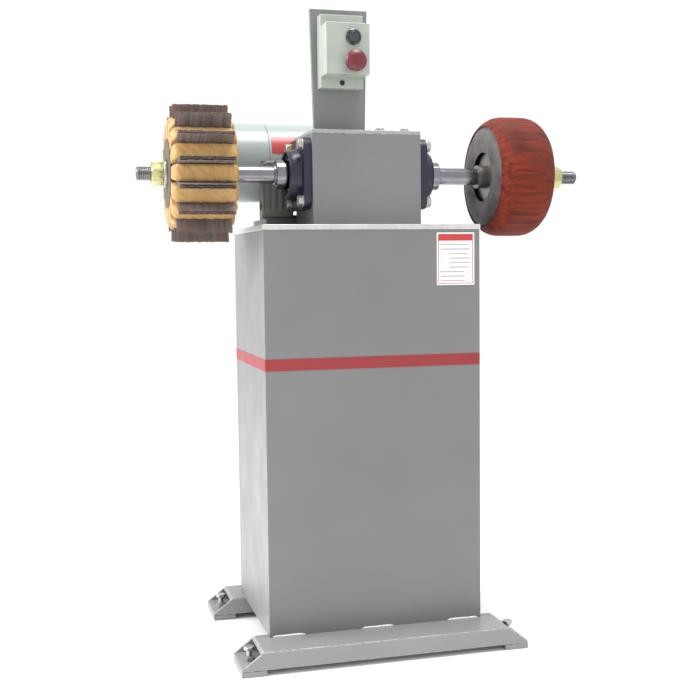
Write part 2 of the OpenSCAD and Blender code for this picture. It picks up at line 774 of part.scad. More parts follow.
module stop_button() color([0.5, 0.1, 0.14]) facing_front(button_x, face_y, stop_z) {
  translate([0, 0, -neck_len - 1]) cylinder(d = stem_d, h = stop_stand + neck_len + 2);
  translate([0, 0, stop_stand]) rotate_extrude() union() {
    square([stop_d / 2, 5]);
    intersection() {
      translate([0, 5 - 22]) circle(r = 29, $fn = 96);
      translate([0, 5 - skin]) square([stop_d / 2 - 1, 20]);
    }
  }
}

// ---------- motor ----------

module motor_frame() color([0.75, 0.79, 0.77])
  on_motor(frame_x) tube(motor_d, motor_d - 2 * motor_wall, motor_frame_len);

module motor_stator() color([0.5, 0.35, 0.25]) on_motor(stator_x)
  tube(motor_d - 2 * motor_wall - 2 * seat_gap, stator_bore, stator_len);

module motor_end_bells() color([0.75, 0.79, 0.77]) {
  on_motor(bell_x) difference() {
    rotate_extrude($fn = 96) polygon([
      [0, 0], [motor_d / 2, 0], [motor_d / 2, end_bell_len - bell_floor],
      [motor_d / 2 - bell_floor, end_bell_len], [0, end_bell_len]
    ]);
    translate([0, 0, -skin])
      cylinder(d = motor_d - 2 * motor_wall - 4, h = end_bell_len - bell_floor + skin);
    cylinder(d = motor_shaft_d + 3, h = 2 * end_bell_len);
  }
  // bearing seats at both ends, joined to the bells
  on_motor(bell_x + 4) tube(motor_race_od + 12, motor_race_od + 2 * seat_gap, end_bell_len - 12);
  on_motor(frame_x) difference() {
    cylinder(d = motor_d - 2 * motor_wall - 2 * seat_gap, h = motor_race_w);
    translate([0, 0, -skin]) cylinder(d = motor_race_od + 2 * seat_gap, h = motor_race_w + 2 * skin);
  }
}

module motor_bearings() color([0.8, 0.8, 0.8])
  for (x = [frame_x + seat_gap, bell_x + end_bell_len - bell_floor - motor_race_w - seat_gap])
    on_motor(x) tube(motor_race_od, motor_shaft_d + 2 * run_gap, motor_race_w);

module motor_fan_cover() color([0.75, 0.79, 0.77]) on_motor(frame_x - fan_cover_len) difference() {
  rotate_extrude($fn = 96) difference() {
    union() {
      translate([0, 14]) square([motor_d / 2, fan_cover_len - 14]);
      translate([motor_d / 2 - 14, 14]) intersection() {
        circle(14);
        translate([0, -14]) square([14, 14]);
      }
      square([motor_d / 2 - 14, 15]);
    }
    translate([0, 2]) square([motor_d / 2 - 14, 14]);
    translate([0, 14]) square([motor_d / 2 - 2, fan_cover_len]);
  }
  // air slots
  for (i = [0:11])
    rotate([0, 0, i * 30]) translate([22, -3, -skin]) cube([34, 6, 2 + 2 * skin]);
}

module motor_cradle() color([0.32, 0.33, 0.33]) difference() {
  on_pedestal() translate([bell_x - cradle_w - 8, motor_back - cradle_d / 2, deck_z + rail_h]) {
    cube([cradle_w, cradle_d, cradle_t]);
    for (x = [0, cradle_w - cradle_t])
      translate([x, 8, 0]) cube([cradle_t, cradle_d - 16, 60]);
  }
  on_motor(frame_x - 1) cylinder(d = motor_d, h = motor_frame_len + 2);
  for (p = rail_bolt_spots)
    on_pedestal() translate([p[0], p[1], deck_z]) cylinder(d = 8 + 2 * bolt_gap, h = 60);
}

module motor_rails() color([0.32, 0.33, 0.33]) on_pedestal() difference() {
  union() {
    translate([rail_x, rail_front, deck_z])
      cube([rail_w, motor_back + cradle_d / 2 - rail_front, rail_h]);
    translate([bell_x - 52, box_rear + 20, deck_z])
      cube([44, motor_back + cradle_d / 2 - box_rear - 20, rail_h]);
  }
  for (p = rail_bolt_spots)
    translate([p[0], p[1], deck_z - skin]) cylinder(d = 8 + 2 * bolt_gap, h = rail_h + 2 * skin);
}

module motor_rail_bolts() color([0.6, 0.6, 0.58]) on_pedestal()
  for (p = rail_bolt_spots)
    translate([p[0], p[1], deck_z + rail_h + cradle_t]) {
      hex_bolt(8, rail_h + cradle_t + top_plate_t + 9, m8_af, m8_h);
      translate([0, 0, -rail_h - cradle_t - top_plate_t - 6.5]) hex(m8_af, 6.5);
    }

// open against the motor's frame; the supply comes in through its left side
module conduit_box() color([0.42, 0.42, 0.4]) difference() {
  on_pedestal() translate([conduit_x, conduit_y + conduit_cover_t, deck_z + conduit_up]) difference() {
    cube([conduit_w, conduit_d, conduit_h]);
    translate([conduit_wall, -skin, conduit_wall])
      cube([conduit_w - 2 * conduit_wall, conduit_d - conduit_wall, conduit_h - 2 * conduit_wall]);
    translate([-skin, conduit_d / 2 - 2, conduit_entry_up]) rotate([0, 90, 0])
      cylinder(d = conduit_entry_d, h = conduit_wall + 2 * skin);
  }
  on_motor(frame_x - fan_cover_len) cylinder(d = motor_d, h = motor_frame_len + fan_cover_len);
}

module conduit_box_cover() color([0.45, 0.45, 0.43]) facing_front(
  conduit_x + conduit_w / 2, conduit_y + conduit_cover_t, deck_z + conduit_up + conduit_h / 2)
  linear_extrude(conduit_cover_t) round_rect(conduit_w, conduit_h, 12);

// curved data plate on the motor's upper front
module motor_plate() color([0.72, 0.22, 0.24]) intersection() {
  on_motor(frame_x + 6) tube(motor_d + 1.2, motor_d + 2 * seat_gap, 60);
  on_pedestal() translate([frame_x, motor_back - motor_d, motor_z + 12]) cube([100, motor_d, 34]);
}

module motor_rotor() color([0.8, 0.8, 0.8]) {
  on_motor(frame_x - 34) cylinder(d = motor_shaft_d, h = belt_x + 18 - frame_x + 34);
  on_motor(stator_x) tube(stator_bore - 1, motor_shaft_d - skin, stator_len);
}

module motor_fan() color([0.2, 0.2, 0.2]) on_motor(frame_x - 30) {
  tube(40, motor_shaft_d + 2 * seat_gap, 20);
  for (i = [0:7]) rotate([0, 0, i * 45]) translate([18, -1.5, 0]) cube([40, 3, 20]);
}

module pulley(pd, bore) difference() {
  rotate_extrude($fn = 96) polygon([
    [0, -pulley_w / 2], [pd / 2 + belt_top_r + 1, -pulley_w / 2],
    [pd / 2 + belt_top_r + 1, -belt_w / 2 - belt_gap - 0.4],
    [pd / 2 - belt_h + belt_top_r - groove_floor, -belt_w / 2 + groove_in],
    [pd / 2 - belt_h + belt_top_r - groove_floor, belt_w / 2 - groove_in],
    [pd / 2 + belt_top_r + 1, belt_w / 2 + belt_gap + 0.4],
    [pd / 2 + belt_top_r + 1, pulley_w / 2], [0, pulley_w / 2]
  ]);
  translate([0, 0, -pulley_w]) cylinder(d = bore + 2 * seat_gap, h = 2 * pulley_w);
}

module motor_pulley() color([0.45, 0.45, 0.46]) on_motor(belt_x) pulley(motor_pulley_pd, motor_shaft_d);

// V-belt: a trapezoid section swept round both pulleys

module drive_belt() color([0.08, 0.08, 0.08])
  on_pedestal() translate([belt_x, -spindle_front, spindle_z])
    rotate([90, 0, 90]) rotate([0, 0, belt_tilt]) polyhedron(
      points = [for (s = belt_stations, k = belt_section)
        [s[0] + (s[1] + k[0]) * cos(s[2]), (s[1] + k[0]) * sin(s[2]), k[1]]],
      faces = [for (i = [0:len(belt_stations) - 1], k = [0:3])
        let (j = (i + 1) % len(belt_stations), m = (k + 1) % 4)
        [4 * i + k, 4 * i + m, 4 * j + m, 4 * j + k]]
    );

// ---------- spindle ----------

module spindle_shaft() color([0.85, 0.85, 0.86]) difference() {
  union() {
    on_spindle(-left_reach) cylinder(d = thread_d, h = left_reach - brush_x - brush_w + skin);
    on_spindle(drum_x + drum_w - skin) cylinder(d = thread_d, h = right_reach - drum_x - drum_w + skin);
    on_spindle(-brush_x - brush_w) cylinder(d = arbor_d, h = brush_x + brush_w + drum_x + drum_w);
    on_spindle(-box_w / 2 - inner_race_reach - 4)
      cylinder(d = shaft_d, h = box_w + 2 * inner_race_reach + 8);
  }
  // keyway under the pulley
  on_spindle(belt_x - pulley_w / 2) translate([-shaft_d / 2 - skin, -key_side / 2, 0])
    cube([key_side / 2 + skin, key_side, pulley_w]);
}

module bearing_inner_races() color([0.88, 0.88, 0.88]) both_sides() difference() {
  on_spindle(box_w / 2 + 4) tube(inner_race_od, shaft_d + 2 * seat_gap, inner_race_reach - 4);
  on_spindle(race_x + race_w / 2) ball_track(part_gap);
}

module spindle_pulley() color([0.45, 0.45, 0.46]) {
  on_spindle(belt_x) difference() {
    pulley(spindle_pulley_pd, shaft_d);
    translate([-shaft_d / 2 - 2.5, -key_side / 2, -pulley_w]) cube([4, key_side, 2 * pulley_w]);
  }
  // the key, proud of the shaft
  on_spindle(belt_x - pulley_w / 2) translate([-shaft_d / 2 - 2.4, -key_side / 2 + seat_gap, 0])
    cube([2.4 + key_side / 2 - seat_gap, key_side - 2 * seat_gap, pulley_w]);
}

// ---------- brush wheel ----------

module on_stations() for (i = [0:stations - 1])
  rotate([0, 0, wheel_phase + i * 360 / stations]) children();

module brush_wheel_hub() color([0.8, 0.78, 0.74]) on_spindle(-brush_x - brush_w) difference() {
  cylinder(d = brush_hub_d, h = brush_w);
  translate([0, 0, -skin]) cylinder(d = arbor_d + 2 * seat_gap, h = brush_w + 2 * skin);
  on_stations() translate([strip_root_r, -strip_t / 2 - seat_gap, wheel_plate_t])
    cube([20, strip_t + 2 * seat_gap, brush_w - 2 * wheel_plate_t]);
}

// a block of bristle fills the wedge between two strips
module brushes() color([0.85, 0.66, 0.38]) {
  a = 180 / stations;
  apex = (strip_t / 2 + seat_gap) / sin(a);
  on_spindle(-brush_x - brush_w) on_stations() rotate([0, 0, a]) intersection() {
    tube(brush_od, brush_hub_d + 2 * seat_gap, brush_w);
    linear_extrude(brush_w) polygon([
      [apex, 0],
      [apex + brush_od * cos(a), brush_od * sin(a)],
      [apex + brush_od * cos(a), -brush_od * sin(a)]
    ]);
  }
}

module abrasive_strips() color([0.38, 0.34, 0.32]) on_spindle(-brush_x - brush_w / 2) on_stations()
  translate([strip_root_r + seat_gap, -strip_t / 2, -strip_w / 2])
    cube([strip_od / 2 - strip_root_r - seat_gap, strip_t, strip_w]);

// ---------- arbor nuts and washers ----------

module arbor_nuts_and_washers() color([0.76, 0.76, 0.5]) {
  on_spindle(-brush_x - brush_w - washer_t) tube(washer_od, thread_d + 2 * seat_gap, washer_t - seat_gap);
  on_spindle(-brush_x - brush_w - washer_t - nut_h) nut();
  on_spindle(-brush_x + seat_gap) tube(collar_od, arbor_d + 2 * seat_gap, collar_w);
  on_spindle(drum_x + drum_w + seat_gap) tube(cup_od, thread_d + 2 * seat_gap, cup_w - 2 * seat_gap);
  on_spindle(drum_x + drum_w + cup_w) nut();
}

module nut() difference() {
  hex(nut_af, nut_h);
  translate([0, 0, -skin]) cylinder(d = thread_d + 2 * seat_gap, h = nut_h + 2 * skin);
}

// ---------- pneumatic drum ----------

module drum_profile(inset) {
  r = drum_shoulder;
  translate([0, inset]) square([drum_od / 2 - r, drum_w - 2 * inset]);
  translate([0, r]) square([drum_od / 2 - inset, drum_w - 2 * r]);
  for (z = [r, drum_w - r]) translate([drum_od / 2 - r, z]) circle(r - inset, $fn = 48);
}

module drum_hub() color([0.6, 0.6, 0.58]) on_spindle(drum_x) difference() {
  union() {
    translate([0, 0, drum_dish]) cylinder(d = drum_hub_d, h = drum_w - 2 * drum_dish);
    cylinder(d = drum_boss_d, h = drum_w);
  }
  translate([0, 0, -skin]) cylinder(d = arbor_d + 2 * seat_gap, h = drum_w + 2 * skin);
}

// keeps a profile between two radii
module between(r0, r1) intersection() {
  children();
  translate([r0, -skin]) square([r1 - r0, drum_w + 2 * skin]);
}

module drum_bladder() color([0.5, 0.5, 0.49]) on_spindle(drum_x) rotate_extrude($fn = 128)
  difference() {
    between(drum_hub_d / 2 + seat_gap, drum_od) drum_profile(sleeve_t + seat_gap);
    between(drum_hub_d / 2 + bladder_t, drum_od) drum_profile(sleeve_t + bladder_t);
  }

module drum_sleeve() color([0.6, 0.24, 0.19]) on_spindle(drum_x) rotate_extrude($fn = 128)
  between((drum_od - drum_shoulder) / 2 - sleeve_t, drum_od) difference() {
    drum_profile(0);
    drum_profile(sleeve_t);
  }

cabinet_shell();
rear_door();
rear_door_screws();
top_plate();
stripe_band();
notice_card();
front_foot();
rear_foot();
foot_pads();
foot_welds();
levelling_screw_front_left();
levelling_screw_front_right();
levelling_screw_rear_left();
levelling_screw_rear_right();
headstock_box();
headstock_lid();
headstock_bolts();
lid_screws();
belt_guard();
belt_guard_screws();
mast();
mast_bolts();
left_bearing_housing();
right_bearing_housing();
bearing_bolts();
bearing_outer_races();
bearing_balls();
grease_nipples();
switch_tray();
switch_cover();
switch_cover_screw();
button_collars();
contact_blocks();
start_button();
stop_button();
motor_frame();
motor_stator();
motor_end_bells();
motor_bearings();
motor_fan_cover();
motor_cradle();
motor_rails();
motor_rail_bolts();
conduit_box();
conduit_box_cover();
motor_plate();
drive_belt();
motor_rotor();
motor_fan();
motor_pulley();
spindle_shaft();
bearing_inner_races();
spindle_pulley();
brush_wheel_hub();
brushes();
abrasive_strips();
arbor_nuts_and_washers();
drum_hub();
drum_bladder();
drum_sleeve();
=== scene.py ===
"""Double-ended pedestal sander: a belt-driven spindle on a steel pedestal, with a brush-backed
abrasive wheel on its left end and a pneumatic drum on its right end."""

import json
import math
import random

import bmesh
import bpy
from mathutils import Matrix, Vector

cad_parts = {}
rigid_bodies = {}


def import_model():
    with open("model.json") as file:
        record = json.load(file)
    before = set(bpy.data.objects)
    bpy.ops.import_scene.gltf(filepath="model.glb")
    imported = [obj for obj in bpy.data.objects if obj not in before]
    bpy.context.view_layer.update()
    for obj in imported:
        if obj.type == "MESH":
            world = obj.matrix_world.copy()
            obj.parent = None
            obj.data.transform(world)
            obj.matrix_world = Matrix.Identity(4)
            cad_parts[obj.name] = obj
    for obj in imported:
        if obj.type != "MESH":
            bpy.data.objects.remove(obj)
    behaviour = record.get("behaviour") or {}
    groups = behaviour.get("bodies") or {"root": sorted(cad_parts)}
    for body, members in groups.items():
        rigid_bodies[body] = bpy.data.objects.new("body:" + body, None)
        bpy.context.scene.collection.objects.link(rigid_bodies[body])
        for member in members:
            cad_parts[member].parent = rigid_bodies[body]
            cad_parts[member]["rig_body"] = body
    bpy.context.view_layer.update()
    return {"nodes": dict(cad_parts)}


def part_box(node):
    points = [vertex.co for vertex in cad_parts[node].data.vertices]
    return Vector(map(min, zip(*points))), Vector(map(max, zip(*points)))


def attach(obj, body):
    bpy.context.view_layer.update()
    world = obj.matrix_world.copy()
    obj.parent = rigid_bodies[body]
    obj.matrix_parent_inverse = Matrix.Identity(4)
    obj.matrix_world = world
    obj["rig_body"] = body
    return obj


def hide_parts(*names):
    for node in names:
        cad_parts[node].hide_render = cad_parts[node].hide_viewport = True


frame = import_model()
nodes = frame["nodes"]

# ---------------------------------------------------------------------------
# Studio. The machine stands on a pale seamless floor and is seen from its front
# left, a little above the waist. A large soft light on the left does most of the
# work, and a white surround fills the rest.
# ---------------------------------------------------------------------------
scene = bpy.context.scene
scene.view_settings.view_transform = "Standard"

eye = Vector((-0.5918, -2.0620, 0.7079))
turn, dip, lean = math.radians(15.0225), math.radians(4.0921), math.radians(-0.6543)
look = Vector(
    (math.sin(turn) * math.cos(dip), math.cos(turn) * math.cos(dip), -math.sin(dip))
)
level_right = Vector((math.cos(turn), -math.sin(turn), 0))
level_up = level_right.cross(look)
right = level_right * math.cos(lean) + level_up * math.sin(lean)
up = level_up * math.cos(lean) - level_right * math.sin(lean)
camera = bpy.data.objects.new("camera", bpy.data.cameras.new("camera"))
camera.data.lens = 57.98
camera.data.sensor_width = 36
camera.data.clip_start = 0.05
camera.matrix_world = Matrix((right, up, -look)).transposed().to_4x4()
camera.location = eye
scene.collection.objects.link(camera)
scene.camera = camera


def softbox(name, place, aim, size, watts):
    """A square soft light at a place, pointed at a spot."""
    light = bpy.data.lights.new(name, "AREA")
    light.energy, light.size = watts, size
    lamp = bpy.data.objects.new(name, light)
    lamp.location = place
    lamp.rotation_euler = (
        (Vector(aim) - Vector(place)).to_track_quat("-Z", "Y").to_euler()
    )
    scene.collection.objects.link(lamp)


softbox("left_softbox", (-3.2, 0.35, 2.3), (0, 0, 0.8), 1.9, 150)
softbox("top_softbox", (0.2, -0.35, 3.0), (0, 0, 0.8), 1.0, 52)
world = bpy.data.worlds.new("white_surround")
world.use_nodes = True
world.node_tree.nodes["Background"].inputs["Color"].default_value = (1, 1, 1, 1)
world.node_tree.nodes["Background"].inputs["Strength"].default_value = 1.06
scene.world = world


def linear(red, green, blue):
    """A colour as shown on a screen, 0 to 255, as the shader's linear colour."""
    return tuple(
        (c / 255 / 12.92 if c < 11 else ((c / 255 + 0.055) / 1.055) ** 2.4)
        for c in (red, green, blue)
    ) + (1.0,)


def new_material(name, roughness=0.5, metallic=0.0, **steady):
    """A material whose steady values sit on the shader's own sockets."""
    material = bpy.data.materials.new(name)
    material.use_nodes = True
    shader = material.node_tree.nodes["Principled BSDF"]
    shader.inputs["Roughness"].default_value = roughness
    shader.inputs["Metallic"].default_value = metallic
    for key, value in steady.items():
        shader.inputs[key.replace("_", " ")].default_value = value
    return material


def add(material, kind, settings=None, **inputs):
    """A shader node; each input is a value or another node's output."""
    node = material.node_tree.nodes.new("ShaderNode" + kind)
    for key, value in (settings or {}).items():
        setattr(node, key, value)
    for key, value in inputs.items():
        socket = (
            node.inputs[int(key[1:])]
            if key[0] == "_"
            else node.inputs[key.replace("_", " ")]
        )
        if isinstance(value, bpy.types.NodeSocket):
            material.node_tree.links.new(value, socket)
        else:
            socket.default_value = value
    return node


def noise(material, scale, detail=3.0, stretch=(1, 1, 1), roughness=0.5):
    """Cloudy noise fixed to the piece, stretched along its axes."""
    place = add(material, "TexCoord").outputs["Object"]
    place = add(material, "Mapping", Vector=place, Scale=stretch).outputs["Vector"]
    return add(
        material,
        "TexNoise",
        Vector=place,
        Scale=scale,
        Detail=detail,
        Roughness=roughness,
    ).outputs["Fac"]


def sum_of(material, operation, a, b):
    return add(material, "Math", {"operation": operation}, _0=a, _1=b).outputs["Value"]


def spread(material, value, low, high, to_low=0.0, to_high=1.0):
    """Value between low and high, carried to another range and held there."""
    return add(
        material,
        "MapRange",
        Value=value,
        From_Min=low,
        From_Max=high,
        To_Min=to_low,
        To_Max=to_high,
    ).outputs["Result"]


def blended(material, value, colour_a, colour_b):
    """Colour a where value is 0 and colour b where it is 1."""
    return add(
        material, "Mix", {"data_type": "RGBA"}, _0=value, _6=colour_a, _7=colour_b
    ).outputs[2]


def attribute(material, name):
    return add(material, "Attribute", {"attribute_name": name}).outputs["Fac"]


def finish_with(material, colour=None, roughness=None, height=None, depth=0.0001):
    """Connects colour, roughness and a bump that is depth metres high."""
    shader = material.node_tree.nodes["Principled BSDF"]
    links = material.node_tree.links
    if colour is not None:
        links.new(colour, shader.inputs["Base Color"])
    if roughness is not None:
        links.new(roughness, shader.inputs["Roughness"])
    if height is not None:
        bump = add(material, "Bump", Height=height, Distance=depth, Strength=1.0)
        links.new(bump.outputs["Normal"], shader.inputs["Normal"])
    return material


def scaled(colour, by):
    return tuple(min(1.0, c * by) for c in colour[:3]) + (1.0,)


floor_colour = new_material("floor_colour", roughness=0.9, Specular_IOR_Level=0.1)
finish_with(
    floor_colour,
    colour=blended(
        floor_colour,
        noise(floor_colour, 3, 5),
        linear(250, 250, 250),
        linear(253, 253, 253),
    ),
    height=noise(floor_colour, 140, 4),
    depth=0.0002,
)
floor_mesh = bpy.data.meshes.new("floor")
reach = 30
floor_mesh.from_pydata(
    [
        (-reach, -reach, 0),
        (reach, -reach, 0),
        (reach, reach, 0),
        (-reach, reach, 0),
    ],
    [],
    [(0, 1, 2, 3)],
)
floor_mesh.materials.append(floor_colour)
floor = bpy.data.objects.new("floor", floor_mesh)
scene.collection.objects.link(floor)


# ---------------------------------------------------------------------------
# Feet. Two lengths of rectangular steel tube with slanting open ends, welded
# under the cabinet and sprayed with it. Each stands on four glued pads, with a
# levelling screw through a welded nut in each end.
# ---------------------------------------------------------------------------
def enamel(name, colour, roughness=0.42, peel=0.00005, wear_and_highlight=0.35, grime=0.16):
    """Sprayed enamel: faint orange peel, cloudy tone, dust, and edges lightened, partly rubbed
    wear and partly a painted highlight.
    """
    material = new_material(name, Coat_Weight=0.15, Coat_Roughness=0.25)
    cloudy = spread(material, noise(material, 4, 5), 0.3, 0.7)
    tone = blended(material, cloudy, scaled(colour, 0.93), scaled(colour, 1.05))
    dust = spread(material, noise(material, 95, 8, roughness=0.7), 0.58, 0.74)
    dusty = sum_of(material, "MULTIPLY", dust, grime)
    tone = blended(material, dusty, tone, scaled(colour, 0.55))
    # Edges lightened in patches: rubbed paint together with a painted highlight.
    wear_and_glint_patches = spread(material, noise(material, 160, 5), 0.42, 0.6)
    worn_and_highlit = sum_of(material, "MULTIPLY", wear_and_glint_patches, attribute(material, "edge"))
    worn_and_highlit = sum_of(material, "MULTIPLY", worn_and_highlit, wear_and_highlight)
    tone = blended(material, worn_and_highlit, tone, scaled(colour, 1.9))
    sheen = spread(
        material, noise(material, 14, 6), 0.3, 0.7, roughness - 0.06, roughness + 0.1
    )
    return finish_with(material, tone, sheen, noise(material, 420, 3), peel)


def plated(name, colour, roughness=0.34, metallic=1.0, stain=0.6, lines=None):
    """Plated or machined metal: cloudy plating, small stains and fine tool lines."""
    material = new_material(name, metallic=metallic)
    cloudy = spread(material, noise(material, 40, 5), 0.3, 0.72)
    tone = blended(material, cloudy, scaled(colour, 0.86), scaled(colour, 1.08))
    spots = spread(material, noise(material, 210, 6, roughness=0.65), 0.6, 0.76)
    spots = sum_of(material, "MULTIPLY", spots, stain)
    tone = blended(material, spots, tone, scaled(colour, 0.42))
    fine = noise(material, 900, 2, stretch=lines or (1, 1, 1))
    sheen = spread(material, fine, 0.3, 0.7, roughness - 0.08, roughness + 0.12)
    return finish_with(material, tone, sheen, fine, 0.00002)


def add_piece(name, mesh, material, slot, body, *stands_for):
    """Puts a finished mesh in the scene on its body, in place of its CAD pieces."""
    piece = bpy.data.objects.new(name, mesh)
    if material:
        mesh.materials.clear()
        mesh.materials.append(material)
    scene.collection.objects.link(piece)
    if stands_for:
        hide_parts(*stands_for)
    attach(piece, body)
    return piece


def settle(mesh, angle=34):
    """Smooth shading that breaks at edges sharper than the angle."""
    mesh.polygons.foreach_set("use_smooth", [True] * len(mesh.polygons))
    mesh.set_sharp_from_angle(angle=math.radians(angle))
    mesh.update()


def eased_copy(node, material, slot, ease, steps=2, shortest=0.004, upright=False):
    """Stands for a CAD piece: its longer sharp edges are rounded and marked for edge wear and a
    painted highlight.
    """
    work = bmesh.new()
    work.from_mesh(nodes[node].data)
    bmesh.ops.remove_doubles(work, verts=work.verts, dist=2e-6)
    bmesh.ops.dissolve_limit(
        work, angle_limit=math.radians(0.25), verts=work.verts, edges=work.edges
    )
    edge_wear_and_highlight = work.faces.layers.float.new("edge")
    chosen = [
        e
        for e in work.edges
        if len(e.link_faces) == 2
        and e.calc_face_angle(0) > math.radians(35)
        and e.calc_length() > shortest
        and (
            not upright
            or abs((e.verts[0].co - e.verts[1].co).normalized().z) > 0.99
        )
    ]
    made = bmesh.ops.bevel(
        work,
        geom=chosen,
        offset=ease,
        segments=steps,
        profile=0.5,
        affect="EDGES",
        clamp_overlap=True,
    )
    for face in made["faces"]:
        face[edge_wear_and_highlight] = 1.0
    mesh = bpy.data.meshes.new(node + "_finished")
    work.to_mesh(mesh)
    work.free()
    settle(mesh)
    piece = bpy.data.objects.new(node + "_work", mesh)
    scene.collection.objects.link(piece)
    weigh = piece.modifiers.new("weigh", "WEIGHTED_NORMAL")
    weigh.keep_sharp = True
    weighed = bpy.data.meshes.new_from_object(
        piece.evaluated_get(bpy.context.evaluated_depsgraph_get())
    )
    bpy.data.objects.remove(piece)
    body = nodes[node]["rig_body"]
    return add_piece(node + "_finished", weighed, material, slot, body, node)


def dress(node, material):
    """A CAD piece whose shape is right keeps it and gets its real finish."""
    mesh = nodes[node].data
    mesh.materials.clear()
    mesh.materials.append(material)


# The feet's edges are lightened more than the cabinet's: wear together with a painted highlight
# along the tube's rounded corners.
foot_enamel = enamel("foot_enamel", linear(134, 134, 134), wear_and_highlight=0.6)
zinc = plated("zinc_plate", linear(186, 186, 180), stain=0.35)
for foot in ("front_foot", "rear_foot"):
    eased_copy(foot, foot_enamel, "foot_paint", 0.0022, 3, shortest=0.02)
eased_copy("foot_pads", foot_enamel, "foot_paint", 0.0012, shortest=0.02)
for corner in ("front_left", "front_right", "rear_left", "rear_right"):
    eased_copy("levelling_screw_" + corner, zinc, "zinc_steel", 0.0007)


# ---------------------------------------------------------------------------
# Cabinet. Folded and seam-welded sheet steel, open underneath, stitch-welded to
# the feet. A red band is painted round its front and sides, and a card is stuck
# in its top right corner. A screwed door closes the back; a ground plate is
# welded on top.
# ---------------------------------------------------------------------------
cabinet_enamel = enamel("cabinet_enamel", linear(114, 114, 115), wear_and_highlight=0.3)
eased_copy(
    "cabinet_shell", cabinet_enamel, "grey_paint", 0.0022, 3, shortest=0.05, upright=True
)
eased_copy("rear_door", cabinet_enamel, "grey_paint", 0.0006, shortest=0.02)
plate_steel = plated(
    "ground_plate", linear(205, 204, 203), roughness=0.42, metallic=0.7, stain=0.3
)
eased_copy("top_plate", plate_steel, "plate_edge", 0.0007, shortest=0.02)


def wrapped_band(material):
    """A painted band over the cabinet's front and sides, round its folded corners."""
    low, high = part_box("stripe_band")
    corner, steps = 0.0026, 5
    shell_low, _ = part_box("cabinet_shell")
    paint = shell_low.x - low.x
    path = [Vector((high.x, high.y))]
    for centre, start in (
        (Vector((high.x - corner, low.y + corner)), 0),
        (Vector((low.x + corner, low.y + corner)), -90),
    ):
        for i in range(steps + 1):
            angle = math.radians(start - 90 * i / steps)
            path.append(centre + corner * Vector((math.cos(angle), math.sin(angle))))
    path.append(Vector((low.x, high.y)))
    work = bmesh.new()
    rings = []
    for i, spot in enumerate(path):
        along = path[min(i + 1, len(path) - 1)] - path[max(i - 1, 0)]
        inward = Vector((along.y, -along.x)).normalized() * paint * 0.9
        if inward.dot(Vector((0, 0.02)) - spot) < 0:
            inward = -inward
        rings.append(
            [
                work.verts.new((p.x, p.y, z))
                for p, z in (
                    (spot, low.z),
                    (spot, high.z),
                    (spot + inward, high.z),
                    (spot + inward, low.z),
                )
            ]
        )
    for a, b in zip(rings, rings[1:]):
        for i in range(4):
            work.faces.new((a[i], a[(i + 1) % 4], b[(i + 1) % 4], b[i]))
    work.faces.new(rings[0])
    work.faces.new(rings[-1][::-1])
    bmesh.ops.recalc_face_normals(work, faces=work.faces)
    mesh = bpy.data.meshes.new("painted_band")
    work.to_mesh(mesh)
    work.free()
    settle(mesh)
    return add_piece(
        "painted_band", mesh, material, "red_band", "machine_frame", "stripe_band"
    )


band_red = enamel("band_red", linear(140, 34, 38), roughness=0.4, grime=0.3)
wrapped_band(band_red)


def gloss_card(name, colour):
    """Printed card under film: faint print mottle, fingerprints and soft ripples."""
    material = new_material(name, Coat_Weight=0.4, Coat_Roughness=0.12)
    tone = blended(
        material, noise(material, 300, 6), scaled(colour, 0.93), scaled(colour, 1.03)
    )
    sheen = spread(material, noise(material, 60, 4), 0.35, 0.7, 0.22, 0.45)
    return finish_with(material, tone, sheen, noise(material, 45, 2), 0.00012)


def printed_card():
    """A white card with a red border, a red header and rows of plain grey bars."""
    low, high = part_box("notice_card")
    wide, tall = high.x - low.x, high.z - low.z
    ink = 0.00004
    print_face = low.y - ink
    work = bmesh.new()

    def patch(x0, z0, x1, z1, colour, y=print_face):
        corners = ((x0, z0), (x1, z0), (x1, z1), (x0, z1))
        face = work.faces.new([work.verts.new((x, y, z)) for x, z in corners])
        face.material_index = colour

    card = bmesh.ops.create_cube(work, size=1)["verts"]
    for v in card:
        v.co = (
            (low.x + high.x) / 2 + v.co.x * wide,
            (low.y + high.y) / 2 + v.co.y * (high.y - low.y),
            (low.z + high.z) / 2 + v.co.z * tall,
        )
    rim, line = 0.0025, 0.0014
    left, right_side, foot, head = (
        low.x + rim,
        high.x - rim,
        low.z + rim,
        high.z - rim,
    )
    header = head - tall * 0.13
    patch(left, header, right_side, head, 1)
    patch(left, foot, left + line, header, 1)
    patch(right_side - line, foot, right_side, header, 1)
    patch(left + line, foot, right_side - line, foot + line, 1)
    bars = random.Random(4)
    rows, sign_w = 9, wide * 0.24
    pitch = (header - foot - 3 * line) / rows
    for row in range(rows):
        z = header - line * 2 - pitch * (row + 0.35)
        start = left + 3 * line + (sign_w if 2 <= row <= 5 else 0)
        stop = right_side - 3 * line - bars.uniform(0, wide * 0.2)
        patch(start, z - pitch * 0.32, stop, z, 2, print_face)
    mesh = bpy.data.meshes.new("stuck_card")
    work.to_mesh(mesh)
    work.free()
    for colour in (
        gloss_card("card_white", linear(240, 236, 234)),
        gloss_card("card_red", linear(188, 44, 44)),
        gloss_card("card_grey", linear(176, 172, 172)),
    ):
        mesh.materials.append(colour)
    return add_piece(
        "stuck_card", mesh, None, "card", "machine_frame", "notice_card"
    )


printed_card()


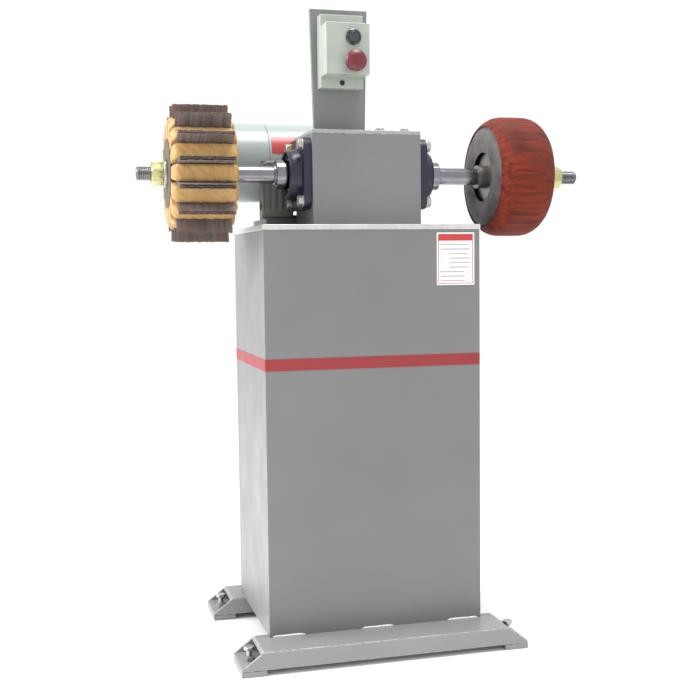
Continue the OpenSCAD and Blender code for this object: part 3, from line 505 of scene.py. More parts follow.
def weld_beads(material):
    """Stitch welds: a rippled bead laid in the corner between cabinet and foot."""
    shell_low, shell_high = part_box("cabinet_shell")
    low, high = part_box("foot_welds")
    leg = 0.0046
    length, ripple, steps, round_steps = 0.06, 0.0026, 90, 6
    middle = (shell_low.x + shell_high.x) / 2
    shift = (high.x - low.x - length) / 2
    work = bmesh.new()
    rough = random.Random(7)
    for face_y, outward in ((shell_low.y, -1), (shell_high.y, 1)):
        for place in (-1, 0, 1):
            wobble = rough.uniform(0, 6)
            rings = []
            for i in range(steps + 1):
                t = i / steps
                taper = min(1, 0.45 + 6 * t, 0.45 + 6 * (1 - t))
                wave = 0.5 + 0.5 * math.cos(2 * math.pi * t * length / ripple + wobble)
                size = leg * taper * (0.86 + 0.1 * wave + 0.04 * math.sin(9 * t + wobble))
                x = middle + place * shift + (t - 0.5) * length
                ring = [work.verts.new((x, face_y, shell_low.z))]
                for j in range(round_steps + 1):
                    a = math.pi / 2 * j / round_steps
                    bulge = size * (0.82 + 0.14 * math.sin(2 * a))
                    ring.append(
                        work.verts.new(
                            (
                                x - ripple * 0.3 * math.sin(2 * a),
                                face_y + outward * bulge * math.cos(a),
                                shell_low.z + bulge * math.sin(a),
                            )
                        )
                    )
                rings.append(ring)
            for a, b in zip(rings, rings[1:]):
                for j in range(len(a)):
                    k = (j + 1) % len(a)
                    work.faces.new((a[j], a[k], b[k], b[j]))
            work.faces.new(rings[0])
            work.faces.new(rings[-1])
    bmesh.ops.recalc_face_normals(work, faces=work.faces)
    mesh = bpy.data.meshes.new("stitch_welds")
    work.to_mesh(mesh)
    work.free()
    settle(mesh, 60)
    return add_piece(
        "stitch_welds", mesh, material, "zinc_steel", "machine_frame", "foot_welds"
    )


weld_beads(plated("weld_metal", linear(214, 212, 208), roughness=0.3, metallic=0.6))


# ---------------------------------------------------------------------------
# Screws and bolts. Zinc-plated hexagon heads with a turned chamfer, and black
# socket and pan heads. Like ones are set out in one piece.
# ---------------------------------------------------------------------------
def lathe(work, outline, place=Matrix.Identity(4), around=48):
    """Turns an outline of (radius, height) points about its axis and sets it in place."""
    rings = []
    for radius, height in outline:
        if radius < 1e-7:
            rings.append([work.verts.new(place @ Vector((0, 0, height)))])
            continue
        rings.append(
            [
                work.verts.new(
                    place
                    @ Vector(
                        (
                            radius * math.cos(2 * math.pi * i / around),
                            radius * math.sin(2 * math.pi * i / around),
                            height,
                        )
                    )
                )
                for i in range(around)
            ]
        )
    made = []
    closed = len(rings[0]) > 1 and len(rings[-1]) > 1
    pairs = list(zip(rings, rings[1:])) + ([(rings[-1], rings[0])] if closed else [])
    for a, b in pairs:
        for i in range(around):
            j = (i + 1) % around
            corners = [a[i % len(a)], a[j % len(a)], b[j % len(b)], b[i % len(b)]]
            made.append(work.faces.new(list(dict.fromkeys(corners))))
    return made


def rounded(outline, radius, steps=3):
    """An outline whose inner corners are replaced by small curves."""
    smooth = [outline[0]]
    for before, corner, after in zip(outline, outline[1:], outline[2:]):
        a, c, b = Vector(before), Vector(corner), Vector(after)
        near = min(radius, (a - c).length * 0.45, (b - c).length * 0.45)
        if near < 1e-6:
            smooth.append(corner)
            continue
        p, q = c + (a - c).normalized() * near, c + (b - c).normalized() * near
        for i in range(steps + 1):
            t = i / steps
            s = p * (1 - t) ** 2 + c * 2 * t * (1 - t) + q * t**2
            smooth.append((s.x, s.y))
    return smooth + [outline[-1]]


def closed_mesh(work, name, angle=34):
    bmesh.ops.recalc_face_normals(work, faces=work.faces)
    mesh = bpy.data.meshes.new(name)
    work.to_mesh(mesh)
    work.free()
    settle(mesh, angle)
    return mesh


def hexagon(work, flats, height, base=0.0, bore=0.0, both=False):
    """A hexagon head or nut whose corners are turned off at the top, or at both ends."""
    corner = flats / 2 / math.cos(math.pi / 6)
    cut = (corner - flats / 2) * 0.55
    around = 48
    levels = [(base, both), (base + cut, False), (base + height - cut, False)]
    levels.append((base + height, True))
    rings = []
    for z, turned_off in levels:
        ring = []
        for i in range(around):
            a = 2 * math.pi * i / around
            inner = abs((a + math.pi / 6) % (math.pi / 3) - math.pi / 6)
            reach_out = flats / 2 / math.cos(math.pi / 6 - inner)
            if turned_off:
                reach_out = min(reach_out, flats / 2 * 0.985)
            ring.append(
                work.verts.new((reach_out * math.cos(a), reach_out * math.sin(a), z))
            )
        rings.append(ring)
    if bore:
        for z in (base + height, base):
            rings.append(
                [
                    work.verts.new(
                        (
                            bore * math.cos(2 * math.pi * i / around),
                            bore * math.sin(2 * math.pi * i / around),
                            z,
                        )
                    )
                    for i in range(around)
                ]
            )
    closing = [(rings[-1], rings[0])] if bore else []
    for a, b in list(zip(rings, rings[1:])) + closing:
        for i in range(around):
            j = (i + 1) % around
            work.faces.new((a[i], a[j], b[j], b[i]))
    if not bore:
        work.faces.new(rings[0][::-1])
        work.faces.new(rings[-1])


def bolt_mesh(name, flats, height, shank, length, washer=0.0):
    """A hexagon bolt that looks along +Z from the face it clamps at height 0."""
    work = bmesh.new()
    if washer:
        lathe(
            work,
            rounded([(0, 0), (washer, 0), (washer, 0.0016), (0, 0.0016)], 0.0003),
            around=36,
        )
    hexagon(work, flats, height, base=0.0016 if washer else 0.0)
    lathe(work, [(0, 0.0002), (shank, 0.0002), (shank, -length), (0, -length)], around=24)
    return closed_mesh(work, name, 30)


def pan_mesh(name, radius, height, shank, length, socket):
    """A round-headed screw with a hexagon socket, looking along +Z."""
    work = bmesh.new()
    lathe(
        work,
        rounded(
            [
                (0, -length),
                (shank, -length),
                (shank, 0),
                (radius, 0),
                (radius, height * 0.6),
                (radius * 0.86, height),
                (socket, height),
                (socket, height * 0.35),
                (0, height * 0.35),
            ],
            0.0006,
        ),
        around=36,
    )
    return closed_mesh(work, name, 40)


def set_out(name, part, places, material, lean_deg=0.0, shortest=1.0, seed=1):
    """Copies of one small part at given places, each leaning and varying a little."""
    carrier_mesh = bpy.data.meshes.new(name + "_places")
    carrier_mesh.from_pydata([p for p, _ in places], [], [])
    turns = carrier_mesh.attributes.new("turn", "FLOAT_VECTOR", "POINT")
    turns.data.foreach_set("vector", [c for _, turned in places for c in turned])
    carrier = bpy.data.objects.new(name + "_carrier", carrier_mesh)
    sample = bpy.data.objects.new(name + "_part", part)
    for o in (carrier, sample):
        scene.collection.objects.link(o)
    tree = bpy.data.node_groups.new(name + "_layout", "GeometryNodeTree")
    face = tree.interface
    face.new_socket("Geometry", in_out="OUTPUT", socket_type="NodeSocketGeometry")
    face.new_socket("Geometry", in_out="INPUT", socket_type="NodeSocketGeometry")
    wanted = {
        "Part": ("NodeSocketObject", sample),
        "Finish": ("NodeSocketMaterial", material),
        "Lean": ("NodeSocketFloat", math.radians(lean_deg)),
        "Shortest": ("NodeSocketFloat", shortest),
        "Seed": ("NodeSocketInt", seed),
    }
    sockets = {
        label: face.new_socket(label, in_out="INPUT", socket_type=kind).identifier
        for label, (kind, _) in wanted.items()
    }

    def geo(kind, settings=None, **links_in):
        node = tree.nodes.new(kind)
        for key, value in (settings or {}).items():
            setattr(node, key, value)
        for key, value in links_in.items():
            socket = node.inputs[
                int(key[1:]) if key[0] == "_" else key.replace("_", " ")
            ]
            if isinstance(value, bpy.types.NodeSocket):
                tree.links.new(value, socket)
            else:
                socket.default_value = value
        return node

    given = geo("NodeGroupInput").outputs
    points = geo("GeometryNodeMeshToPoints", Mesh=given["Geometry"]).outputs[0]
    taken = geo("GeometryNodeObjectInfo", Object=given["Part"]).outputs["Geometry"]
    turned = geo(
        "GeometryNodeInputNamedAttribute", {"data_type": "FLOAT_VECTOR"}, Name="turn"
    ).outputs["Attribute"]
    turned = geo("FunctionNodeEulerToRotation", Euler=turned).outputs[0]
    chance = geo(
        "FunctionNodeRandomValue",
        {"data_type": "FLOAT"},
        _2=given["Shortest"],
        _3=1.0,
        Seed=given["Seed"],
    ).outputs[1]
    stretch = geo("ShaderNodeCombineXYZ", X=1.0, Y=1.0, Z=chance).outputs[0]
    laid = geo(
        "GeometryNodeInstanceOnPoints",
        Points=points,
        Instance=taken,
        Rotation=turned,
        Scale=stretch,
    ).outputs[0]
    most = geo(
        "ShaderNodeCombineXYZ", X=given["Lean"], Y=given["Lean"], Z=0.0
    ).outputs[0]
    least = geo(
        "ShaderNodeVectorMath", {"operation": "SCALE"}, _0=most, Scale=-1.0
    ).outputs[0]
    tilt = geo(
        "FunctionNodeRandomValue",
        {"data_type": "FLOAT_VECTOR"},
        _0=least,
        _1=most,
        Seed=given["Seed"],
    ).outputs[0]
    tilt = geo("FunctionNodeEulerToRotation", Euler=tilt).outputs[0]
    laid = geo("GeometryNodeRotateInstances", Instances=laid, Rotation=tilt).outputs[0]
    tone = geo(
        "FunctionNodeRandomValue", {"data_type": "FLOAT"}, _2=0.0, _3=1.0, Seed=seed + 5
    ).outputs[1]
    laid = geo(
        "GeometryNodeStoreNamedAttribute",
        {"data_type": "FLOAT", "domain": "INSTANCE"},
        Geometry=laid,
        Name="tone",
        Value=tone,
    ).outputs[0]
    real = geo("GeometryNodeRealizeInstances", Geometry=laid).outputs[0]
    painted = geo(
        "GeometryNodeSetMaterial", Geometry=real, Material=given["Finish"]
    ).outputs[0]
    geo("NodeGroupOutput", Geometry=painted)
    layout = carrier.modifiers.new("layout", "NODES")
    layout.node_group = tree
    for label, (_, value) in wanted.items():
        layout[sockets[label]] = value
    carrier.data.update()
    mesh = bpy.data.meshes.new_from_object(
        carrier.evaluated_get(bpy.context.evaluated_depsgraph_get())
    )
    for o in (carrier, sample):
        bpy.data.objects.remove(o)
    return mesh


def centres_of(node, about, within):
    """Middles of the loose solids of a CAD piece, found by gathering near corners."""
    low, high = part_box(node)
    spots = []
    for v in nodes[node].data.vertices:
        flat = Vector(v.co[k] for k in about)
        for spot in spots:
            if (spot[0] - flat).length < within:
                spot[1].append(v.co.copy())
                break
        else:
            spots.append([flat, [v.co.copy()]])
    made = []
    for _, corners in spots:
        lows = Vector(min(c[k] for c in corners) for k in range(3))
        highs = Vector(max(c[k] for c in corners) for k in range(3))
        made.append(((lows + highs) / 2, lows, highs))
    return made


upwards = (0.0, 0.0, 0.0)
backwards = (-math.pi / 2, 0.0, 0.0)
to_right = (0.0, math.pi / 2, 0.0)
to_left = (0.0, -math.pi / 2, 0.0)
black_oxide = plated("black_oxide", linear(62, 62, 64), roughness=0.4, metallic=0.8)

# The rear door's six M6 screws
door_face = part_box("rear_door")[1].y
door_screws = set_out(
    "door_screws",
    bolt_mesh("m6_bolt", 0.010, 0.004, 0.003, 0.008),
    [
        (Vector((c.x, door_face, c.z)), backwards)
        for c, _, _ in centres_of("rear_door_screws", (0, 2), 0.02)
    ],
    zinc,
)
add_piece(
    "door_screws", door_screws, None, "zinc_steel", "machine_frame", "rear_door_screws"
)


# ---------------------------------------------------------------------------
# Headstock. A welded box with a loose lid, bolted down from inside the cabinet.
# It carries the spindle's bearings on its sides. The lid is painted a lighter grey
# than the box with strongly lightened edges: a painted highlight. It has four sunk cap screws.
# ---------------------------------------------------------------------------
# A lighter copy of the grey paint with strongly lightened edges: a painted highlight on the lid.
lid_highlit_enamel = enamel("lid_highlit_enamel", linear(150, 150, 149), wear_and_highlight=0.9)
eased_copy("headstock_box", cabinet_enamel, "grey_paint", 0.0016, 3, shortest=0.02)
eased_copy("headstock_lid", lid_highlit_enamel, "grey_paint", 0.0009, shortest=0.02)
dress("headstock_bolts", zinc)
dress("lid_screws", black_oxide)

# ---------------------------------------------------------------------------
# Motor. A foot-mounted induction motor behind the headstock, on a cradle and two
# rails bolted to the top plate: rolled frame, cast drive-end bell, pressed fan
# cover with slots, and a ribbed conduit box at its front.
# ---------------------------------------------------------------------------
motor_enamel = enamel("motor_enamel", linear(150, 160, 158), roughness=0.3)
dark_enamel = enamel("dark_enamel", linear(72, 74, 74), roughness=0.45)
# The conduit box and its cover get the motor's pale paint darkened: painted shade.
conduit_shaded_enamel = enamel("conduit_shaded_enamel", linear(104, 104, 99), roughness=0.5)
along_x = Matrix.Rotation(math.pi / 2, 4, "Y")
motor_low, motor_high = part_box("motor_frame")
motor_y, motor_z = (motor_low.y + motor_high.y) / 2, (motor_low.z + motor_high.z) / 2
motor_r = (motor_high.y - motor_low.y) / 2
motor_wall, seam = 0.006, 0.0018


def on_motor(x):
    return Matrix.Translation((x, motor_y, motor_z)) @ along_x


length = motor_high.x - motor_low.x
work = bmesh.new()
outline = [(motor_r - motor_wall, 0), (motor_r - seam, 0), (motor_r - seam, 0.002)]
outline += [(motor_r, 0.003), (motor_r, length - 0.003)]
outline += [(motor_r - seam, length - 0.002), (motor_r - seam, length)]
outline += [(motor_r - motor_wall, length)]
lathe(work, rounded(outline, 0.0005), on_motor(motor_low.x), around=128)
add_piece(
    "motor_body",
    closed_mesh(work, "motor_body", 25),
    motor_enamel,
    "motor_paint",
    "machine_frame",
    "motor_frame",
)
for node in ("motor_fan_cover", "motor_end_bells"):
    dress(node, motor_enamel)
eased_copy("motor_cradle", dark_enamel, "dark_paint", 0.0009, shortest=0.01)
eased_copy("motor_rails", dark_enamel, "dark_paint", 0.0009, shortest=0.01)
rail_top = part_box("motor_cradle")[0].z + 0.008
rail_bolts = set_out(
    "rail_bolts",
    bolt_mesh("m8_rail_bolt", 0.013, 0.0053, 0.004, 0.044, washer=0.0078),
    [
        (Vector((c.x, c.y, rail_top)), upwards)
        for c, _, _ in centres_of("motor_rail_bolts", (0, 1), 0.02)
    ],
    zinc,
)
add_piece(
    "rail_bolts", rail_bolts, None, "zinc_steel", "machine_frame", "motor_rail_bolts"
)
eased_copy("conduit_box", conduit_shaded_enamel, "conduit_paint", 0.001, shortest=0.01)


def ribbed_cover(material):
    """The conduit box's pressed cover: round corners and upright ribs."""
    low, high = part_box("conduit_box_cover")
    wide, tall, thick = high.x - low.x, high.z - low.z, high.y - low.y
    corner, ribs, rib_depth = 0.012, 5, 0.0022
    work = bmesh.new()
    columns, rows = 61, 40
    front, back = [], []
    for i in range(columns):
        u = i / (columns - 1)
        x = low.x + wide * u
        edge_in = min(u, 1 - u) * wide
        drop = 0.0
        if edge_in < corner:
            drop = corner - math.sqrt(corner**2 - (corner - edge_in) ** 2)
        wave = 0.5 - 0.5 * math.cos(2 * math.pi * ribs * u)
        col_front, col_back = [], []
        for j in range(rows):
            v = j / (rows - 1)
            z = low.z + drop + (tall - 2 * drop) * v
            rim = min(edge_in, min(v, 1 - v) * tall) / 0.004
            soft = max(0.0, min(1.0, rim))
            inner = max(0.0, min(1.0, (min(v, 1 - v) * tall - 0.012) / 0.006))
            depth = (1 - math.sqrt(1 - (1 - soft) ** 2)) * 0.003
            depth += rib_depth * wave * inner * soft
            col_front.append(work.verts.new((x, low.y + depth, z)))
            col_back.append(work.verts.new((x, high.y, z)))
        front.append(col_front)
        back.append(col_back)
    for side, flip in ((front, False), (back, True)):
        for a, b in zip(side, side[1:]):
            for j in range(rows - 1):
                quad = (a[j], b[j], b[j + 1], a[j + 1])
                work.faces.new(quad[::-1] if flip else quad)
    loop_front = [c[0] for c in front] + front[-1][1:] + [c[-1] for c in front][-2::-1]
    loop_front += front[0][-2:0:-1]
    loop_back = [c[0] for c in back] + back[-1][1:] + [c[-1] for c in back][-2::-1]
    loop_back += back[0][-2:0:-1]
    for i in range(len(loop_front)):
        k = (i + 1) % len(loop_front)
        work.faces.new((loop_front[i], loop_back[i], loop_back[k], loop_front[k]))
    return add_piece(
        "ribbed_cover",
        closed_mesh(work, "ribbed_cover", 50),
        material,
        "conduit_paint",
        "machine_frame",
        "conduit_box_cover",
    )


ribbed_cover(conduit_shaded_enamel)
dress("motor_plate", enamel("plate_red", linear(170, 52, 56), roughness=0.35, grime=0.6))
winding = plated("varnished_core", linear(120, 74, 44), roughness=0.5, metallic=0.3)
dress("motor_stator", winding)
bright = plated(
    "bright_steel",
    linear(134, 132, 138),
    roughness=0.14,
    metallic=1.0,
    stain=0.3,
    lines=(14, 1, 1),
)
for node in ("motor_bearings", "motor_rotor"):
    dress(node, bright)
dress("motor_fan", enamel("fan_black", linear(46, 46, 46)))

# ---------------------------------------------------------------------------
# Belt drive. A moulded V-belt over two turned cast pulleys, under a folded guard
# screwed to the back of the headstock.
# ---------------------------------------------------------------------------
pulley_iron = plated("pulley_iron", linear(112, 112, 114), roughness=0.42, metallic=0.8)
belt_rubber = new_material("belt_rubber")
finish_with(
    belt_rubber,
    colour=blended(
        belt_rubber, noise(belt_rubber, 60, 5), linear(22, 22, 22), linear(44, 43, 42)
    ),
    roughness=spread(belt_rubber, noise(belt_rubber, 90, 4), 0.3, 0.7, 0.55, 0.8),
    height=noise(belt_rubber, 900, 2),
    depth=0.00008,
)
dress("drive_belt", belt_rubber)
for node in ("motor_pulley", "spindle_pulley"):
    dress(node, pulley_iron)
eased_copy("belt_guard", cabinet_enamel, "grey_paint", 0.0007, shortest=0.02)
guard_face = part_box("belt_guard")[0].y + 0.0015
guard_screws = set_out(
    "guard_screws",
    pan_mesh("m5_pan", 0.0045, 0.003, 0.0025, 0.0075, 0.0016),
    [
        (Vector((c.x, guard_face, c.z)), backwards)
        for c, _, _ in centres_of("belt_guard_screws", (0, 2), 0.02)
    ],
    black_oxide,
)
add_piece(
    "guard_screws",
    guard_screws,
    None,
    "dark_steel",
    "machine_frame",
    "belt_guard_screws",
)

# ---------------------------------------------------------------------------
# Spindle and bearings. One ground steel shaft with a threaded stub at each end
# turns in two cast four-bolt flange units, painted navy. The inner races reach
# out as locking collars.
# ---------------------------------------------------------------------------
spindle_low, spindle_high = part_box("spindle_shaft")
spindle_y = (spindle_low.y + spindle_high.y) / 2
spindle_z = (spindle_low.z + spindle_high.z) / 2
arbor_r, stub_r, thread_pitch = 0.015875, 0.0127, 0.0032
journal_r = (spindle_high.y - spindle_low.y) / 2
races_low, races_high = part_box("bearing_inner_races")
journal_x0, journal_x1 = races_low.x - 0.004, races_high.x + 0.004
wheel_x0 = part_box("brush_wheel_hub")[0].x
drum_x1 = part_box("drum_hub")[1].x


def on_spindle(x):
    return Matrix.Translation((x, spindle_y, spindle_z)) @ along_x


def threaded_stub(work, root_x, tip_x):
    """A rolled thread as one winding groove, chamfered at the tip."""
    around, per_turn, depth = 40, 8, 0.0011
    long = abs(tip_x - root_x)
    sign = 1 if tip_x > root_x else -1
    count = int(long / thread_pitch * per_turn)
    rings = []
    for i in range(count + 1):
        z = long * i / count
        ring = []
        for k in range(around):
            a = 2 * math.pi * k / around
            phase = (z / thread_pitch + k / around) % 1
            groove = depth * (1 - abs(2 * phase - 1))
            tip = max(0.0, z - (long - 0.002)) * 0.9
            root = max(0.0, 0.001 - z) * 0.5
            radius = stub_r - groove - tip - root
            ring.append(
                work.verts.new(
                    (
                        root_x + sign * z,
                        spindle_y + radius * math.cos(a),
                        spindle_z + radius * math.sin(a),
                    )
                )
            )
        rings.append(ring)
    for a, b in zip(rings, rings[1:]):
        for k in range(around):
            m = (k + 1) % around
            work.faces.new((a[k], a[m], b[m], b[k]))
    work.faces.new(rings[0])
    work.faces.new(rings[-1])


work = bmesh.new()
ease = 0.0008
shaft_outline = [(0, wheel_x0)]
shaft_outline += [(stub_r, wheel_x0), (arbor_r - ease, wheel_x0), (arbor_r, wheel_x0 + ease)]
shaft_outline += [(arbor_r, journal_x0), (journal_r - ease, journal_x0)]
shaft_outline += [(journal_r, journal_x0 + ease), (journal_r, journal_x1 - ease)]
shaft_outline += [(journal_r - ease, journal_x1), (arbor_r, journal_x1)]
shaft_outline += [(arbor_r, drum_x1 - ease), (arbor_r - ease, drum_x1), (0, drum_x1)]
lathe(work, shaft_outline, on_spindle(0), around=96)
shaft_mesh = closed_mesh(work, "ground_shaft", 30)
add_piece(
    "ground_shaft", shaft_mesh, bright, "bright_steel", "spindle", "spindle_shaft"
)
work = bmesh.new()
threaded_stub(work, wheel_x0, spindle_low.x)
threaded_stub(work, drum_x1, spindle_high.x)
stub_steel = plated("stub_steel", linear(122, 122, 124), roughness=0.3, stain=0.8)
add_piece(
    "threaded_stubs",
    closed_mesh(work, "threaded_stubs", 40),
    stub_steel,
    "dark_steel",
    "spindle",
)
navy = enamel(
    "navy_enamel", linear(15, 16, 42), roughness=0.34, peel=0.00025, wear_and_highlight=0.3, grime=0.3
)
for side in ("left", "right"):
    eased_copy(
        side + "_bearing_housing", navy, "navy_casting", 0.0016, 3, shortest=0.0
    )
for node in ("bearing_inner_races", "bearing_outer_races", "bearing_balls"):
    dress(node, bright)
dress(
    "grease_nipples", plated("nipple_brass", linear(202, 180, 110), roughness=0.3)
)
flange_t = 0.015
left_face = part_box("left_bearing_housing")[1].x - flange_t
right_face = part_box("right_bearing_housing")[0].x + flange_t
m12_flats, m12_head, m12_shank, m12_length, m12_washer = 0.019, 0.0075, 0.006, 0.031, 0.0118
bolt_places = []
for c, _, _ in centres_of("bearing_bolts", (0, 1, 2), 0.045):
    face, facing = (left_face, to_left) if c.x < 0 else (right_face, to_right)
    bolt_places.append((Vector((face, c.y, c.z)), facing))
bearing_bolts = set_out(
    "bearing_bolts",
    bolt_mesh("m12_bolt", m12_flats, m12_head, m12_shank, m12_length, washer=m12_washer),
    bolt_places,
    zinc,
)
add_piece(
    "bearing_bolts_finished",
    bearing_bolts,
    None,
    "zinc_steel",
    "machine_frame",
    "bearing_bolts",
)

# ---------------------------------------------------------------------------
# Nuts, washers and collars that clamp the two wheels. Yellow-zinc hexagon nuts
# with both faces chamfered, turned washers, a cup against the drum's outer side and
# a plain collar at the brush wheel's inner side.
# ---------------------------------------------------------------------------
yellow_zinc = plated("yellow_zinc", linear(190, 188, 134), roughness=0.3, metallic=0.85)
nut_flats, nut_h = 0.0381, 0.022
wheel_x1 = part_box("brush_wheel_hub")[1].x
washer_t, cup_w, collar_w = 0.006, 0.020, 0.008


def clamp_ring(work, x0, x1, outer, bore):
    lathe(
        work,
        rounded([(bore, 0), (outer, 0), (outer, x1 - x0), (bore, x1 - x0)], 0.0009),
        on_spindle(x0),
        around=72,
    )


work = bmesh.new()
nut = bmesh.new()
hexagon(nut, nut_flats, nut_h, bore=stub_r, both=True)
nut_shape = bpy.data.meshes.new("nut_shape")
nut.to_mesh(nut_shape)
nut.free()
for x0, twist in ((wheel_x0 - washer_t - nut_h, 0.2), (drum_x1 + cup_w, 0.9)):
    nut_shape.transform(on_spindle(x0) @ Matrix.Rotation(twist, 4, "Z"))
    work.from_mesh(nut_shape)
    nut_shape.transform((on_spindle(x0) @ Matrix.Rotation(twist, 4, "Z")).inverted())
bpy.data.meshes.remove(nut_shape)
add_piece(
    "arbor_nuts",
    closed_mesh(work, "arbor_nuts", 30),
    yellow_zinc,
    "yellow_zinc",
    "spindle",
    "arbor_nuts_and_washers",
)
work = bmesh.new()
washer_r, collar_r, cup_r = 0.026, 0.023, 0.032
clamp_ring(work, wheel_x0 - washer_t, wheel_x0, washer_r, stub_r)
clamp_ring(work, wheel_x1, wheel_x1 + collar_w, collar_r, arbor_r)
clamp_ring(work, drum_x1, drum_x1 + cup_w, cup_r, stub_r)
add_piece("clamp_rings", closed_mesh(work, "clamp_rings", 30), zinc, "zinc_steel", "spindle")

# ---------------------------------------------------------------------------
# Brush wheel. Sixteen bundles of slashed abrasive cloth are slotted into a hub,
# and stiff tampico brushes packed between them push the cloth outwards. The
# cloth is cut into fingers that fray at their ends.
# ---------------------------------------------------------------------------
stations, wheel_phase = 16, math.radians(14.5)
brush_low, brush_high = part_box("brushes")
strips_low, strips_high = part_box("abrasive_strips")
hub_low, hub_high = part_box("brush_wheel_hub")
hub_r = (hub_high.y - hub_low.y) / 2
brush_r = 0.102
strip_r = 0.125
strip_gap = 0.0066
half_step = math.pi / stations


def fibre(name, root, tip, dark):
    """Tampico: long streaks from hub to tip, each fibre its own tone."""
    material = new_material(name, Sheen_Weight=0.15)
    streak = noise(material, 420, 4, stretch=(1, 0.12, 0.12))
    own = sum_of(material, "ADD", attribute(material, "tone"), streak)
    shade = spread(material, own, 0.35, 1.35)
    colour = blended(material, shade, root, tip)
    burnt = spread(material, noise(material, 30, 6), 0.5, 0.72, 0.0, 0.4)
    colour = blended(material, burnt, colour, dark)
    return finish_with(material, colour, noise(material, 80, 3), streak, 0.0006)


tampico = fibre(
    "tampico", linear(176, 136, 76), linear(210, 178, 118), linear(148, 108, 58)
)


def brush_blocks():
    """Packed fibre between two bundles of cloth: domed over its tips, soft at its ends."""
    work = bmesh.new()
    lumps = random.Random(11)
    wide = brush_high.x - brush_low.x
    across, along = 16, 30
    for s in range(stations):
        middle = wheel_phase + (s + 0.5) * 2 * half_step
        phase = lumps.uniform(0, 6)
        grid = []
        for i in range(along + 1):
            u = i / along
            end_in = min(u, 1 - u) * wide
            soft = min(1.0, end_in / 0.016)
            drop = 0.011 * (1 - math.sqrt(max(0.0, 1 - (1 - soft) ** 2)))
            row = []
            for j in range(across + 1):
                v = 2 * j / across - 1
                top = brush_r - 0.0012 - drop - 0.003 * abs(v) ** 6
                top += 0.0006 * math.sin(37 * u + 5 * v + phase)
                top += lumps.uniform(-0.0005, 0.0004)
                spread_out = top * math.sin(half_step) - strip_gap / 2 - 0.0006
                y = v * spread_out * (1 - 0.06 * (1 - soft))
                x = brush_low.x + 0.0012 + (wide - 0.0024) * u
                row.append((x, y, top * math.cos(half_step * 0.4 * v)))
            grid.append(row)
        turn_to = Matrix.Rotation(middle, 3, "X")

        def placed(x, y, z):
            spot = turn_to @ Vector((0, y, z))
            return (x, spindle_y + spot.y, spindle_z + spot.z)

        base_r = hub_r - 0.0002
        root_w = base_r * math.sin(half_step) - strip_gap / 2
        tops = [[work.verts.new(placed(*p)) for p in row] for row in grid]
        roots = [
            [
                work.verts.new(
                    placed(row[0][0], (2 * j / across - 1) * root_w, base_r)
                )
                for j in range(across + 1)
            ]
            for row in grid
        ]
        for rows in (tops, roots):
            for a, b in zip(rows, rows[1:]):
                for j in range(across):
                    work.faces.new((a[j], a[j + 1], b[j + 1], b[j]))
        for j in range(across):
            for end in (0, -1):
                a, b = tops[end], roots[end]
                work.faces.new((a[j], a[j + 1], b[j + 1], b[j]))
        for i in range(along):
            for j in (0, -1):
                a, b = tops, roots
                work.faces.new((a[i][j], a[i + 1][j], b[i + 1][j], b[i][j]))
    return closed_mesh(work, "brush_blocks", 60)


add_piece(
    "brush_blocks", brush_blocks(), tampico, "bristle", "spindle", "brushes"
)


def bristle_part():
    """One stiff fibre, three-sided and bent a little, standing along +Z."""
    work = bmesh.new()
    thick, bend = 0.00045, 0.0008
    tall = 0.0135
    rings = []
    for k, (z, side) in enumerate(((0, 0), (0.6, 0.3), (1, 1))):
        rings.append(
            [
                work.verts.new(
                    (
                        thick * (1 - 0.35 * k / 2) * math.cos(a) + bend * side,
                        thick * (1 - 0.35 * k / 2) * math.sin(a),
                        tall * z,
                    )
                )
                for a in (0, 2.1, 4.2)
            ]
        )
    for a, b in zip(rings, rings[1:]):
        for i in range(3):
            j = (i + 1) % 3
            work.faces.new((a[i], a[j], b[j], b[i]))
    work.faces.new(rings[0][::-1])
    work.faces.new(rings[-1])
    return closed_mesh(work, "bristle_part", 60)


def loose_bristles(per_station=330):
    """Where the loose fibres stand: over each block's top and round its ends."""
    scatter = random.Random(23)
    places = []
    for s in range(stations):
        middle = wheel_phase + (s + 0.5) * 2 * half_step
        for _ in range(per_station):
            u = scatter.random()
            at_end = scatter.random() < 0.45
            if at_end:
                u = (scatter.random() ** 2) * 0.09
                u = u if scatter.random() < 0.5 else 1 - u
            v = scatter.uniform(-0.93, 0.93)
            x = brush_low.x + 0.0016 + (brush_high.x - brush_low.x - 0.0032) * u
            soft = min(1.0, min(u, 1 - u) * (brush_high.x - brush_low.x) / 0.016)
            drop = 0.011 * (1 - math.sqrt(max(0.0, 1 - (1 - soft) ** 2)))
            radius = brush_r - 0.0132 - drop - 0.003 * abs(v) ** 6
            side = v * (radius * math.sin(half_step) - strip_gap / 2)
            angle = middle
            spot = Matrix.Rotation(angle, 3, "X") @ Vector((0, side, radius))
            places.append(
                (
                    Vector((x, spindle_y + spot.y, spindle_z + spot.z)),
                    (angle - side / radius, 0.0, 0.0),
                )
            )
    return places


bristles = set_out(
    "loose_bristles",
    bristle_part(),
    loose_bristles(),
    tampico,
    lean_deg=5,
    shortest=0.8,
    seed=3,
)
add_piece("loose_bristles", bristles, None, "bristle", "spindle")


